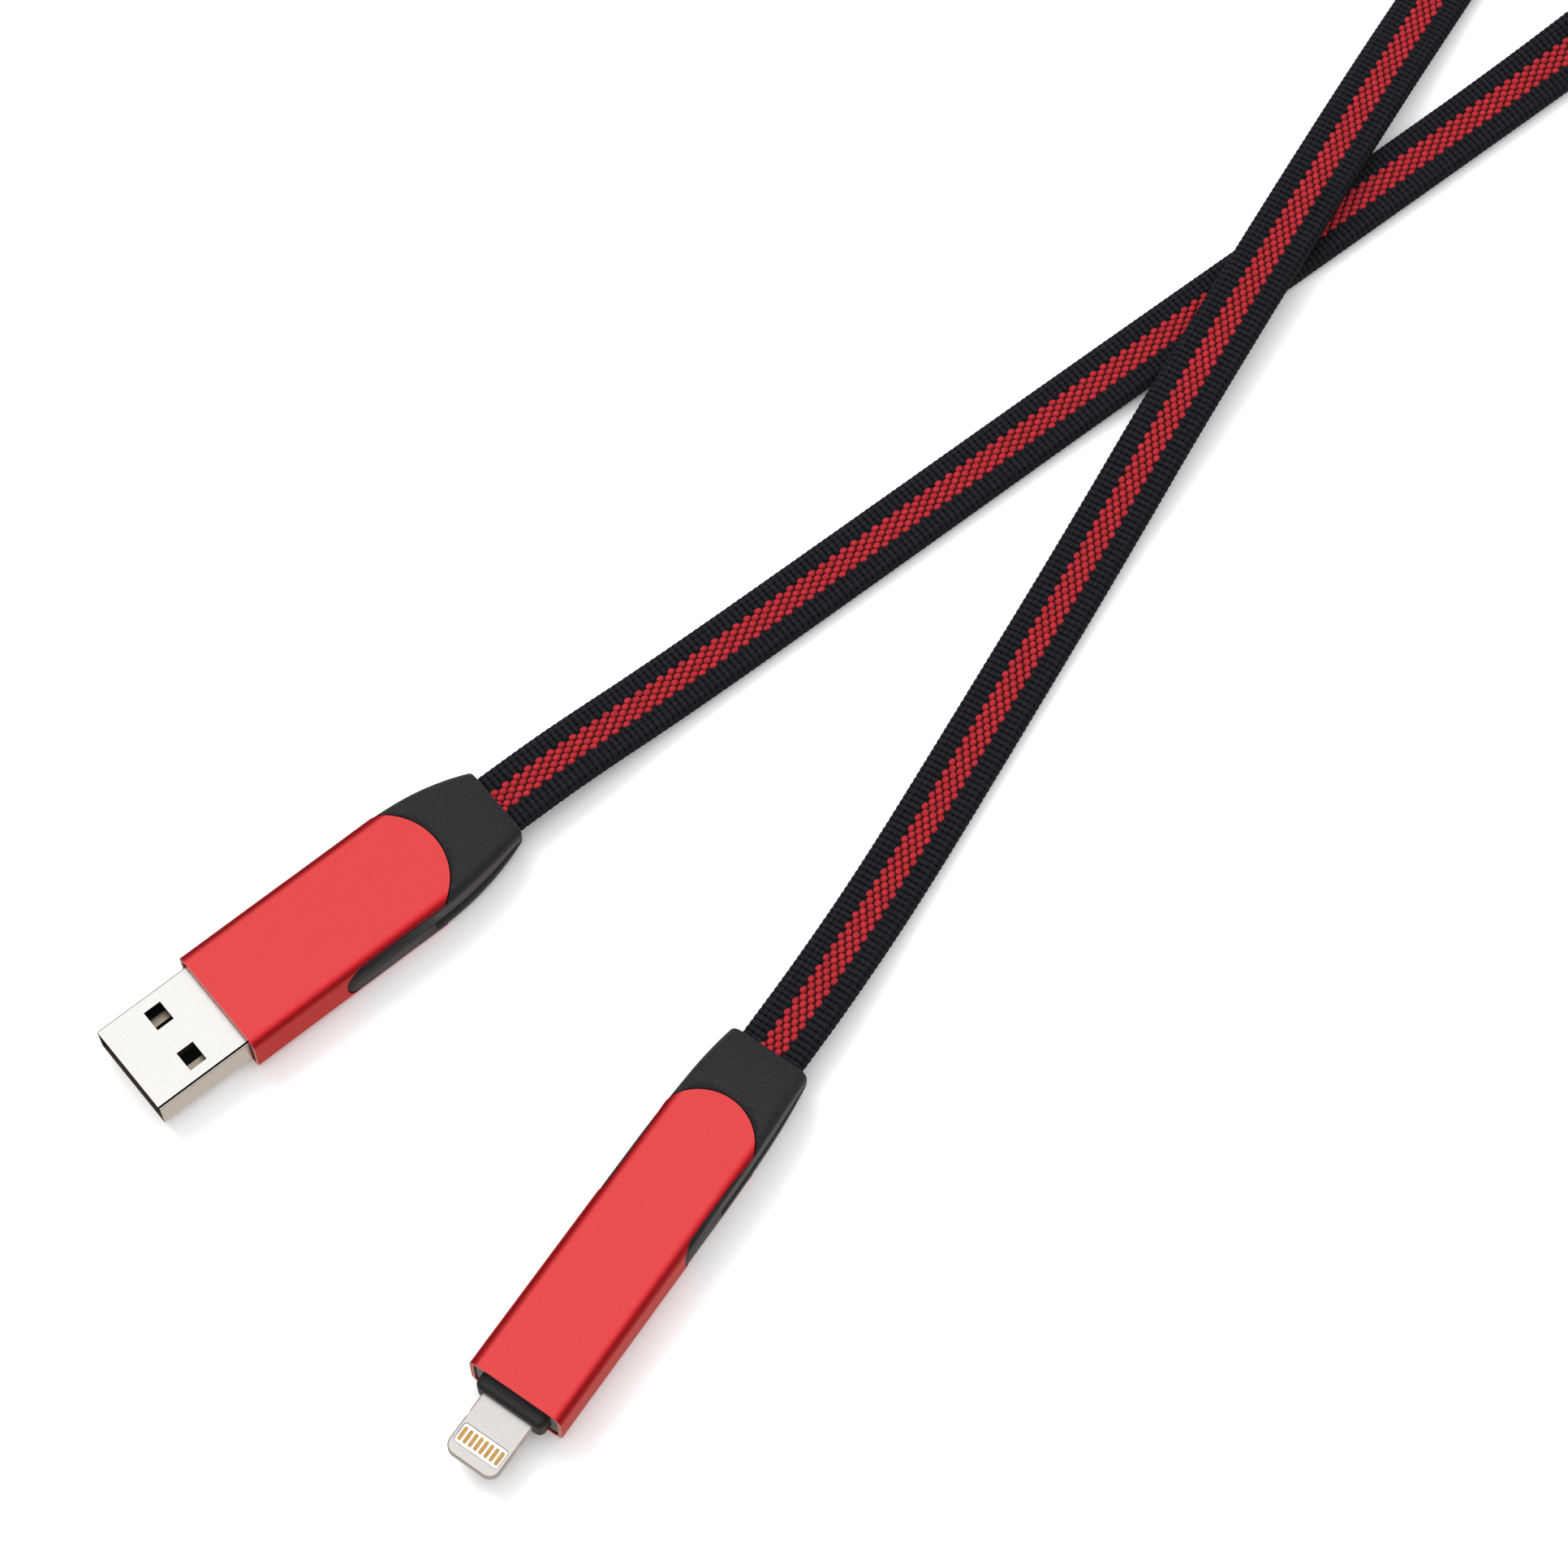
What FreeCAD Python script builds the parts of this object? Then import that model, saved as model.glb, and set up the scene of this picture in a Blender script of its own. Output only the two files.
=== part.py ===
import FreeCAD, Part
import math
import os

import Sketcher

Vector = FreeCAD.Vector

# Driving dimensions in millimetres, angles in degrees
SIZES = {
    # both plugs
    "plug_height": 7.3,
    "sleeve_wall": 0.55,
    "sleeve_edge_radius": 1.4,
    "slot_waist_length": 3.6,
    "slot_gap": 0.15,
    "seat_gap": 0.05,
    "arm_thickness": 1.7,
    "arm_recess": 0.1,
    "groove_width": 0.2,
    "groove_depth": 0.15,
    "boot_rim_radius": 0.5,
    "core_edge_radius": 0.8,
    "core_lead": 2.35,
    "board_thickness": 0.8,
    "wire_radius": 0.42,
    "wire_pitch": 1.6,
    "wire_overlap": 2.6,
    "crimp_wall": 0.45,
    "crimp_length": 4.0,
    "crimp_lead": 1.0,
    "ribbon_inset": 1.4,
    "mouth_gap": 0.1,
    "mouth_lead": 2.0,
    # ribbon cable
    "ribbon_width": 8.3,
    "ribbon_thickness": 2.4,
    # plug with the wide metal shell
    "rest_reach": 14.7,
    "wide_sleeve_side": 1.1,
    "wide_sleeve_length": 31.15,
    "wide_tongue_radius": 8.0,
    "wide_slot_reach": 12.9,
    "wide_slot_end_radius": 2.3,
    "wide_slot_half_height": 2.9,
    "wide_slot_rear_half_height": 2.85,
    "wide_slot_waist_reach": 22.0,
    "wide_core_recess": 0.4,
    "wide_boot_side_start": 25.5,
    "wide_boot_mouth_wall": 0.75,
    "wide_boot_length": 39.9,
    "wide_boot_slope_start": 30.0,
    "wide_boot_mouth_drop": 1.65,
    "shell_width": 12.0,
    "shell_height": 4.5,
    "shell_wall": 0.3,
    "shell_reach": 12.3,
    "shell_seat": 6.4,
    "shell_edge_radius": 0.25,
    "shell_bore_radius": 0.1,
    "seam_width": 0.25,
    "seam_inset": 0.15,
    "seam_drop": 0.6,
    "window_width": 2.65,
    "window_length": 2.25,
    "window_spacing": 6.2,
    "window_reach": 5.35,
    "insulator_thickness": 1.85,
    "insulator_setback": 0.35,
    "mouth_depth": 8.8,
    "contact_width": 1.05,
    "contact_thickness": 0.25,
    "contact_inner_offset": 1.0,
    "contact_outer_offset": 3.5,
    "contact_inner_setback": 2.6,
    "contact_outer_setback": 1.6,
    "contact_tail": 2.4,
    "wide_board_length": 10.6,
    "wide_board_width": 8.8,
    # plug with the slim contact tab
    "slim_place_x": 56.64,
    "slim_place_y": -16.68,
    "slim_turn": 15.55,
    "slim_sleeve_side": 1.65,
    "slim_sleeve_length": 40.75,
    "slim_tongue_radius": 6.3,
    "slim_slot_reach": 23.3,
    "slim_slot_end_radius": 1.8,
    "slim_slot_half_height": 3.25,
    "slim_slot_rear_half_height": 3.0,
    "slim_slot_waist_reach": 32.7,
    "slim_core_recess": 0.25,
    "slim_boot_side_start": 30.4,
    "slim_boot_mouth_wall": 1.05,
    "slim_boot_length": 48.6,
    "slim_boot_slope_start": 40.6,
    "slim_boot_mouth_drop": 1.65,
    "tab_width": 6.7,
    "tab_thickness": 1.5,
    "tab_length": 7.3,
    "tab_corner_radius": 1.3,
    "tab_edge_radius": 0.25,
    "tab_root": 5.4,
    "tab_window_width": 5.9,
    "tab_window_length": 2.45,
    "tab_window_reach": 1.25,
    "tab_window_radius": 0.35,
    "tab_window_gap": 0.07,
    "tab_notch_radius": 1.2,
    "tab_notch_depth": 0.12,
    "tab_notch_reach": 4.6,
    "pad_count_pitch": 0.7,
    "pad_width": 0.44,
    "pad_length": 1.7,
    "pad_depth": 0.3,
    "pad_inset_depth": 0.04,
    "collar_width": 9.0,
    "collar_height": 4.3,
    "collar_reach": 1.5,
    "collar_radius": 0.9,
    "collar_root_width": 7.9,
    "collar_root_height": 3.4,
    "collar_root_depth": 2.0,
    "slim_board_width": 7.2,
    "slim_board_length": 19.0,
    "chip_width": 4.2,
    "chip_length": 5.0,
    "chip_height": 0.9,
    "chip_reach": 4.0,
    # stored coil of the cord and the two straps that hold it
    "coil_place_x": -3.6,
    "coil_place_y": 265.2,
    "coil_outer_radius": 45.3,
    "coil_inner_radius": 38.2,
    "coil_lift": 2.5,
    "tie_thickness": 2.35,
    "tie_width": 12.0,
    "tie_right_angle": -10.0,
    "tie_far_angle": 85.0,
    "tie_gap": 0.05,
}

TINY = 1e-6
PAD_COUNT = 8
HOLLOW = "hollow"
WIRE_COLOURS = ["red", "white", "green", "black"]


class Size:
    """A size of the model: its number and the sheet expression that gives it."""

    def __init__(self, number, text):
        self.number = number
        self.text = text

    def join(self, other, sign, number):
        text = other.text if isinstance(other, Size) else repr(float(other))
        return Size(number, "(" + self.text + " " + sign + " " + text + ")")

    def __add__(self, other):
        return self.join(other, "+", self.number + plain(other))

    def __sub__(self, other):
        return self.join(other, "-", self.number - plain(other))

    def __mul__(self, other):
        return self.join(other, "*", self.number * plain(other))

    def __truediv__(self, other):
        return self.join(other, "/", self.number / plain(other))

    def __neg__(self):
        return Size(-self.number, "(-" + self.text + ")")


def plain(value):
    """The number of a size or of a plain number."""
    return value.number if isinstance(value, Size) else float(value)


def size(name):
    """A named size of the sheet."""
    return Size(SIZES[name], "Sizes." + name)


def bind(item, path, value):
    """Tie one property of an object to a size."""
    item.setExpression(path, value.text)


doc = FreeCAD.newDocument("charging_cable")
sheet = doc.addObject("Spreadsheet::Sheet", "Sizes")
for row, (alias, number) in enumerate(SIZES.items(), start=1):
    sheet.set("A" + str(row), alias)
    sheet.set("B" + str(row), str(number))
    sheet.setAlias("B" + str(row), alias)
doc.recompute()

nodes = {}


# Building blocks: outlines, plates, bars, boxes and booleans


def start_sketch(body, name, role, offset):
    """A sketch on one origin plane of its own body, moved along the plane's normal."""
    plane = next(f for f in body.Origin.OriginFeatures if f.Role == role)
    sketch = body.newObject("Sketcher::SketchObject", name)
    sketch.AttachmentSupport = [(plane, "")]
    sketch.MapMode = "FlatFace"
    bind(sketch, ".AttachmentOffset.Base.z", offset)
    return sketch


def pin_point(sketch, edge, end, point, tag, axes="XY"):
    """Hold one point of an edge at a place whose coordinates are sizes."""
    values = dict(zip("XY", point))
    for axis in axes:
        name = tag + axis.lower()
        value = values[axis]
        number = sketch.addConstraint(Sketcher.Constraint("Distance" + axis, edge, end, value.number))
        sketch.renameConstraint(number, name)
        bind(sketch, "Constraints." + name, value)


def draw_outline(sketch, corners):
    """A closed outline, anticlockwise.

    Each corner is (x, y) for a straight edge to it, or (x, y, radius) for an arc that bulges outwards.
    A fourth value, HOLLOW, turns the arc's bulge inwards.
    """
    flat = [Vector(c[0].number, c[1].number, 0) for c in corners]
    half_turns = []
    for i, corner in enumerate(corners):
        begin, end = flat[i - 1], flat[i]
        if len(corner) == 2:
            sketch.addGeometry(Part.LineSegment(begin, end), False)
            continue
        radius = corner[2].number
        half = (end - begin).Length / 2
        normal = Vector(begin.y - end.y, end.x - begin.x, 0).normalize()
        if corner[-1] is HOLLOW:
            normal = -normal
        centre = (begin + end) / 2 + normal * math.sqrt(max(radius**2 - half**2, 0))
        sketch.addGeometry(Part.Arc(begin, centre - normal * radius, end), False)
        if abs(radius - half) < TINY:
            half_turns.append(i)
    count = len(corners)
    starts = [2 if corner[-1] is HOLLOW else 1 for corner in corners]
    finishes = [3 - start for start in starts]
    for i, corner in enumerate(corners):
        after = (i + 1) % count
        sketch.addConstraint(Sketcher.Constraint("Coincident", i, finishes[i], after, starts[after]))
        tag = "corner" + str(i)
        if i in half_turns:
            before = corners[i - 1]
            centre = [(before[0] + corner[0]) / 2, (before[1] + corner[1]) / 2]
            pin_point(sketch, i, 3, centre, "centre" + str(i))
            level = abs(before[0].number - corner[0].number) > TINY
            pin_point(sketch, i, 2, corner[:2], tag, "Y" if level else "X")
            continue
        if len(corner) > 2:
            number = sketch.addConstraint(Sketcher.Constraint("Radius", i, corner[2].number))
            sketch.renameConstraint(number, "radius" + str(i))
            bind(sketch, "Constraints.radius" + str(i), corner[2])
        pin_point(sketch, i, finishes[i], corner[:2], tag)


def pad_profile(body, sketch, length, reverse=False, taper=None, both=False):
    """Pad a sketch and return the feature."""
    pad = body.newObject("PartDesign::Pad", body.Name + "_pad")
    pad.Profile = sketch
    bind(pad, "Length", length)
    pad.Reversed = reverse
    pad.Midplane = both
    if taper:
        bind(pad, "TaperAngle", taper)
    return pad


def box_corners(left, right, low, high):
    """The four corners of a rectangle, anticlockwise."""
    return [(left, low), (right, low), (right, high), (left, high)]


def plate(name, corners, low, high, taper=None, down=False):
    """A flat piece: a plan outline padded from one height to another, with a draft if given."""
    body = doc.addObject("PartDesign::Body", name)
    sketch = start_sketch(body, name + "_plan", "XY_Plane", high if down else low)
    draw_outline(sketch, corners)
    pad_profile(body, sketch, high - low, reverse=down, taper=taper)
    doc.recompute()
    return body


def bar(name, half_width, half_height, front, rear, radius=None):
    """A bar along the plug, centred on its axis, with its four long edges rounded."""
    body = doc.addObject("PartDesign::Body", name)
    sketch = start_sketch(body, name + "_section", "XZ_Plane", -front)
    draw_outline(sketch, box_corners(-half_width, half_width, middle - half_height, middle + half_height))
    pad = pad_profile(body, sketch, rear - front, reverse=True)
    doc.recompute()
    if radius:
        long_edges = [e for e in edges_of(pad.Shape) if along(e[1], Vector(0, 1, 0))]
        round_edges(body, pad, [e[0] for e in long_edges], radius)
    return body


def edges_of(shape):
    """The shape's edges, each with its name."""
    return [("Edge" + str(i), edge) for i, edge in enumerate(shape.Edges, start=1)]


def along(edge, direction):
    """Whether a straight edge runs along a direction."""
    if not isinstance(edge.Curve, Part.Line):
        return False
    return abs(abs(edge.Curve.Direction.dot(direction)) - 1) < TINY


def round_edges(body, feature, names, radius):
    """Round named edges of a body's last feature."""
    fillet = body.newObject("PartDesign::Fillet", body.Name + "_rounding")
    fillet.Base = (feature, names)
    bind(fillet, "Radius", radius)
    doc.recompute()
    return fillet


def block(name, left, right, front, rear, low, high):
    """A plain box between six sizes."""
    box = doc.addObject("Part::Box", name)
    bind(box, "Length", right - left)
    bind(box, "Width", rear - front)
    bind(box, "Height", high - low)
    for axis, value in zip("xyz", (left, front, low)):
        bind(box, ".Placement.Base." + axis, value)
    return box


def post(name, radius, across, reach, low, high):
    """A round post standing upright."""
    solid = doc.addObject("Part::Cylinder", name)
    bind(solid, "Radius", radius)
    bind(solid, "Height", high - low)
    for axis, value in zip("xyz", (across, reach, low)):
        bind(solid, ".Placement.Base." + axis, value)
    return solid


def rod(name, radius, across, front, rear, height):
    """A round rod along the plug."""
    rod_solid = doc.addObject("Part::Cylinder", name)
    bind(rod_solid, "Radius", radius)
    bind(rod_solid, "Height", rear - front)
    rod_solid.Placement.Rotation = FreeCAD.Rotation(Vector(1, 0, 0), -90)
    for axis, value in zip("xyz", (across, front, height)):
        bind(rod_solid, ".Placement.Base." + axis, value)
    return rod_solid


def cut(name, base, *tools):
    """The base with one or more tools taken away."""
    tool = tools[0]
    if len(tools) > 1:
        tool = join(name + "_tools", *tools)
    result = doc.addObject("Part::Cut", name)
    result.Base = base
    result.Tool = tool
    return result


def join(name, *shapes):
    """Several shapes as one solid."""
    result = doc.addObject("Part::MultiFuse", name)
    result.Shapes = list(shapes)
    result.Refine = True
    return result


def common(name, base, tool):
    """What two shapes share."""
    result = doc.addObject("Part::Common", name)
    result.Base = base
    result.Tool = tool
    return result


def group(name, shapes):
    """Separate solids kept as one node."""
    result = doc.addObject("Part::Compound", name)
    result.Links = list(shapes)
    return result


FAR = size("wide_sleeve_length") * 2
NONE = size("seat_gap") * 0

middle = size("plug_height") / 2
seat = size("seat_gap")
gap = size("slot_gap")
wall = size("sleeve_wall")
ribbon_half_width = size("ribbon_width") / 2
ribbon_half_thickness = size("ribbon_thickness") / 2
wide_half_width = size("shell_width") / 2 + size("wide_sleeve_side")
slim_half_width = size("collar_width") / 2 + size("slim_sleeve_side")


def ribbon_front(sleeve_length):
    """Where the ribbon ends inside a plug, behind the sleeve's front edge."""
    return sleeve_length - size("ribbon_inset")


def crimp_front(sleeve_length):
    """Where the crimp band starts on the ribbon."""
    return ribbon_front(sleeve_length) + size("crimp_lead")


def core_rear(sleeve_length):
    """Where the inner mouldings end, clear of the crimp band."""
    return crimp_front(sleeve_length) - size("core_lead")


# Each plug is drawn with its sleeve's front edge at Y 0, the cable towards +Y, lying on Z 0


def carrier(item):
    """A piece that can be moved as a whole: a plain primitive is held in a compound first."""
    if item.TypeId not in ("Part::Box", "Part::Cylinder"):
        return item
    return group(item.Name + "_carrier", [item])


def place_wide(item, node):
    """Put a piece of the wide plug in the part's frame."""
    item = carrier(item)
    item.Label = node
    bind(item, ".Placement.Base.y", -size("rest_reach"))
    nodes[node] = item


def place_slim(item, node):
    """Put a piece of the slim plug in the part's frame, turned on the resting surface."""
    item = carrier(item)
    item.Label = node
    bind(item, ".Placement.Base.x", size("slim_place_x"))
    bind(item, ".Placement.Base.y", size("slim_place_y"))
    bind(item, ".Placement.Rotation.Angle", size("slim_turn"))
    nodes[node] = item


def tongue_shape(name, half_width, length, radius, low, high):
    """A prism of the sleeve's plan, cut to its width."""
    centre = length - radius
    around = plate(name + "_round", [(-radius, centre, radius), (radius, centre)], low, high)
    straight = block(name + "_straight", -radius, radius, NONE, centre, low, high)
    whole = join(name + "_whole", around, straight)
    limit = block(name + "_limit", -half_width, half_width, -FAR, FAR, low, high)
    return common(name, whole, limit)


def slot_shape(name, plug, inset, half_width):
    """The side slot's shape, right through the plug: a round front end and a slight waist behind it."""
    body = doc.addObject("PartDesign::Body", name)
    sketch = start_sketch(body, name + "_side", "YZ_Plane", NONE)
    front = size(plug + "_slot_reach") + inset
    end_radius = size(plug + "_slot_end_radius") - inset
    tall = size(plug + "_slot_half_height") - inset
    low = size(plug + "_slot_rear_half_height") - inset
    waist = size(plug + "_slot_waist_reach")
    rear = waist + size("slot_waist_length")
    corners = [
        (front, middle - tall + end_radius),
        (front + end_radius, middle - tall, end_radius),
        (waist, middle - tall),
        (rear, middle - low),
        (FAR, middle - low),
        (FAR, middle + low),
        (rear, middle + low),
        (waist, middle + tall),
        (front + end_radius, middle + tall),
        (front, middle + tall - end_radius, end_radius),
    ]
    draw_outline(sketch, corners)
    pad_profile(body, sketch, half_width * 4, both=True)
    doc.recompute()
    return body


def sleeve(plug, half_width, length, tongue_radius):
    """The anodised tube: open at both ends, slotted at the sides, with a round tongue above and below."""
    half_height = middle
    outer = bar(plug + "_tube", half_width, half_height, NONE, length, size("sleeve_edge_radius"))
    inner_radius = size("sleeve_edge_radius") - wall
    bore = bar(plug + "_tube_bore", half_width - wall, half_height - wall, -FAR, FAR, inner_radius)
    slots = slot_shape(plug + "_tube_slots", plug, NONE, half_width)
    tube = cut(plug + "_tube_slotted", outer, bore, slots)
    plan = tongue_shape(
        plug + "_tube_plan", half_width * 2, length, tongue_radius, -middle, size("plug_height") * 2
    )
    return common(plug + "_sleeve", tube, plan)


def boot_plan(arm_front, half_width, side_start, rear_half_width, rear):
    """Plan of the boot: straight arms whose sides run on in arcs that curve in to the cable."""
    inward = half_width - rear_half_width
    onward = rear - side_start
    side_radius = (inward * inward + onward * onward) / (inward * 2)
    return [
        (-half_width, side_start, side_radius),
        (-half_width, arm_front),
        (half_width, arm_front),
        (half_width, side_start),
        (rear_half_width, rear, side_radius),
        (-rear_half_width, rear),
    ]


def slope_boot(body, down, slope, rear, half_width):
    """Let a boot half's broad face curve in towards the cable, from the end of the sleeve's tongue."""
    start, drop = slope
    onward = rear - start
    radius = (onward * onward + drop * drop) / (drop * 2)
    sketch = start_sketch(body, body.Name + "_slope", "YZ_Plane", NONE)
    if down:
        corners = [
            (start, NONE, radius, HOLLOW),
            (start, -middle),
            (FAR, -middle),
            (FAR, drop),
            (rear, drop),
        ]
    else:
        top = size("plug_height")
        corners = [
            (start, top),
            (rear, top - drop, radius, HOLLOW),
            (FAR, top - drop),
            (FAR, top + middle),
            (start, top + middle),
        ]
    draw_outline(sketch, corners)
    pocket = body.newObject("PartDesign::Pocket", body.Name + "_sloping")
    pocket.Profile = sketch
    bind(pocket, "Length", half_width * 4)
    pocket.Midplane = True
    doc.recompute()


def boot_halves(plug, half_width, length, tongue_radius, side, slope, place):
    """The two moulded halves that hold the cable, with arms that fill the sleeve's side slots."""
    kind = plug.split("_")[0]
    side_start, rear_half_width, rear = side
    inner_half = half_width - wall
    arm_front = size(kind + "_slot_reach") + gap
    face = half_width - size("arm_recess")
    plan = boot_plan(arm_front, face, side_start, rear_half_width, rear)
    depth = size("groove_depth")
    groove_plan = boot_plan(
        arm_front + depth, face - depth, side_start, rear_half_width - depth, rear - depth
    )
    groove_half = size("groove_width") / 2
    groove_low = middle - groove_half
    groove_high = middle + groove_half
    groove_rear = rear - size("boot_rim_radius") * 2
    around = block(plug + "_boot_groove_block", -FAR, FAR, NONE, groove_rear, groove_low, groove_high)
    kept = plate(plug + "_boot_groove_kept", groove_plan, NONE, size("plug_height"))
    groove = cut(plug + "_boot_groove", around, kept)
    grown = tongue_shape(
        plug + "_boot_relief_plan",
        half_width * 2,
        length + gap,
        tongue_radius + gap,
        -middle,
        size("plug_height") * 2,
    )
    inside = bar(
        plug + "_boot_inside",
        inner_half - seat,
        middle - wall - seat,
        -FAR,
        FAR,
        size("sleeve_edge_radius") - wall,
    )
    arm_slots = slot_shape(plug + "_boot_slots", kind, gap, half_width)
    allowed = join(plug + "_boot_allowed", inside, arm_slots)
    relief = cut(plug + "_boot_relief", grown, allowed)
    arm_inner = half_width - size("arm_thickness")
    room_rear = core_rear(length) + seat
    core_room = block(
        plug + "_boot_core_room", -arm_inner, arm_inner, -FAR, room_rear, -middle, size("plug_height") * 2
    )
    passage = bar(
        plug + "_boot_passage",
        ribbon_half_width + size("mouth_gap"),
        ribbon_half_thickness + size("mouth_gap"),
        NONE,
        FAR,
    )
    band_front = crimp_front(length)
    crimp_half_width = ribbon_half_width + size("mouth_gap") + size("crimp_wall")
    crimp_half_height = ribbon_half_thickness + size("mouth_gap") + size("crimp_wall")
    band_rear = band_front + size("crimp_length")
    crimp_room = bar(
        plug + "_boot_crimp_room", crimp_half_width + seat, crimp_half_height + seat, band_front, band_rear
    )
    halves = {"upper": (middle, size("plug_height"), False), "lower": (NONE, middle, True)}
    for half, (low, high, down) in halves.items():
        name = plug + "_boot_" + half
        blank = plate(name + "_blank", plan, low, high, down=down)
        slope_boot(blank, down, slope, rear, half_width)
        soften_boot(blank, down)
        place(cut(name + "_cut", blank, relief, core_room, passage, crimp_room, groove), name)
    crimp_block = bar(plug + "_crimp_block", crimp_half_width, crimp_half_height, band_front, band_rear)
    crimp_hole = bar(
        plug + "_crimp_hole", ribbon_half_width, ribbon_half_thickness, NONE, FAR
    )
    place(cut(plug + "_crimp_ring", crimp_block, crimp_hole), plug + "_crimp")


def soften_boot(body, down):
    """Round the long outer edges of a boot half as the sleeve's are, and then its rear rim."""
    bounds = body.Shape.BoundBox
    parting = bounds.ZMax if down else bounds.ZMin
    names = []
    for name, edge in edges_of(body.Shape):
        box = edge.BoundBox
        clear = min(abs(box.ZMax - parting), abs(box.ZMin - parting)) > TINY
        if clear and not along(edge, Vector(1, 0, 0)):
            names.append(name)
    round_edges(body, body.Tip, names, size("sleeve_edge_radius") - size("arm_recess"))
    rim = []
    for name, edge in edges_of(body.Shape):
        box = edge.BoundBox
        at_rear = abs(box.YMin - bounds.YMax) < TINY
        if at_rear and abs(box.ZMax + box.ZMin - parting * 2) > TINY:
            rim.append(name)
    round_edges(body, body.Tip, rim, size("boot_rim_radius"))


def core_halves(plug, half_width, length, slot_reach, recess, rooms, place):
    """The two inner mouldings that centre the metal parts in the sleeve and carry the board."""
    wide_half = half_width - wall - seat
    narrow_half = half_width - size("arm_thickness") - seat
    step = slot_reach - gap
    rear = core_rear(length)
    plan = [
        (-wide_half, recess),
        (wide_half, recess),
        (wide_half, step),
        (narrow_half, step),
        (narrow_half, rear),
        (-narrow_half, rear),
        (-narrow_half, step),
        (-wide_half, step),
    ]
    top = size("plug_height") - wall - seat
    halves = {"upper": (middle, top, False), "lower": (wall + seat, middle, True)}
    for half, (low, high, down) in halves.items():
        name = plug + "_core_" + half
        blank = plate(name + "_blank", plan, low, high, down=down)
        level = plain(top) if half == "upper" else plain(low)
        names = []
        for edge_name, edge in edges_of(blank.Shape):
            centre = edge.BoundBox.Center
            if along(edge, Vector(0, 1, 0)) and abs(centre.z - level) < TINY:
                names.append(edge_name)
        round_edges(blank, blank.Tip, names, size("core_edge_radius"))
        place(cut(name + "_cut", blank, *rooms), name)


def wires(plug, front, rear, level, place):
    """The four insulated conductors, laid on the board and running back to the cable's end."""
    first = -size("wire_pitch") * (len(WIRE_COLOURS) - 1) / 2
    for i, colour in enumerate(WIRE_COLOURS):
        across = first + size("wire_pitch") * i
        wire = rod(plug + "_wire_rod_" + colour, size("wire_radius"), across, front, rear, level)
        place(wire, plug + "_wire_" + colour)


# Wide plug


def wide_shell():
    """The folded steel shell with two latch windows above and below and its open seam."""
    half_width = size("shell_width") / 2
    half_height = size("shell_height") / 2
    sheet_wall = size("shell_wall")
    front = -size("shell_reach")
    rear = size("shell_seat")
    edge = size("shell_edge_radius")
    outer = bar("shell_outer", half_width, half_height, front, rear, edge)
    bore_half_height = half_height - sheet_wall
    bore = bar("shell_bore", half_width - sheet_wall, bore_half_height, -FAR, FAR, size("shell_bore_radius"))
    window_front = front + size("window_reach")
    window_rear = window_front + size("window_length")
    windows = []
    for side in (-1, 1):
        centre = size("window_spacing") * (side / 2)
        left = centre - size("window_width") / 2
        right = centre + size("window_width") / 2
        name = "shell_window_" + ("left" if side < 0 else "right")
        windows.append(block(name, left, right, window_front, window_rear, NONE, size("plug_height")))
    seam_right = half_width - size("seam_inset")
    seam = block(
        "shell_seam",
        seam_right - size("seam_width"),
        seam_right,
        -FAR,
        FAR,
        middle + bore_half_height - size("seam_drop"),
        size("plug_height"),
    )
    place_wide(cut("wide_shell_cut", outer, bore, seam, *windows), "wide_plug_shell")


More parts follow.
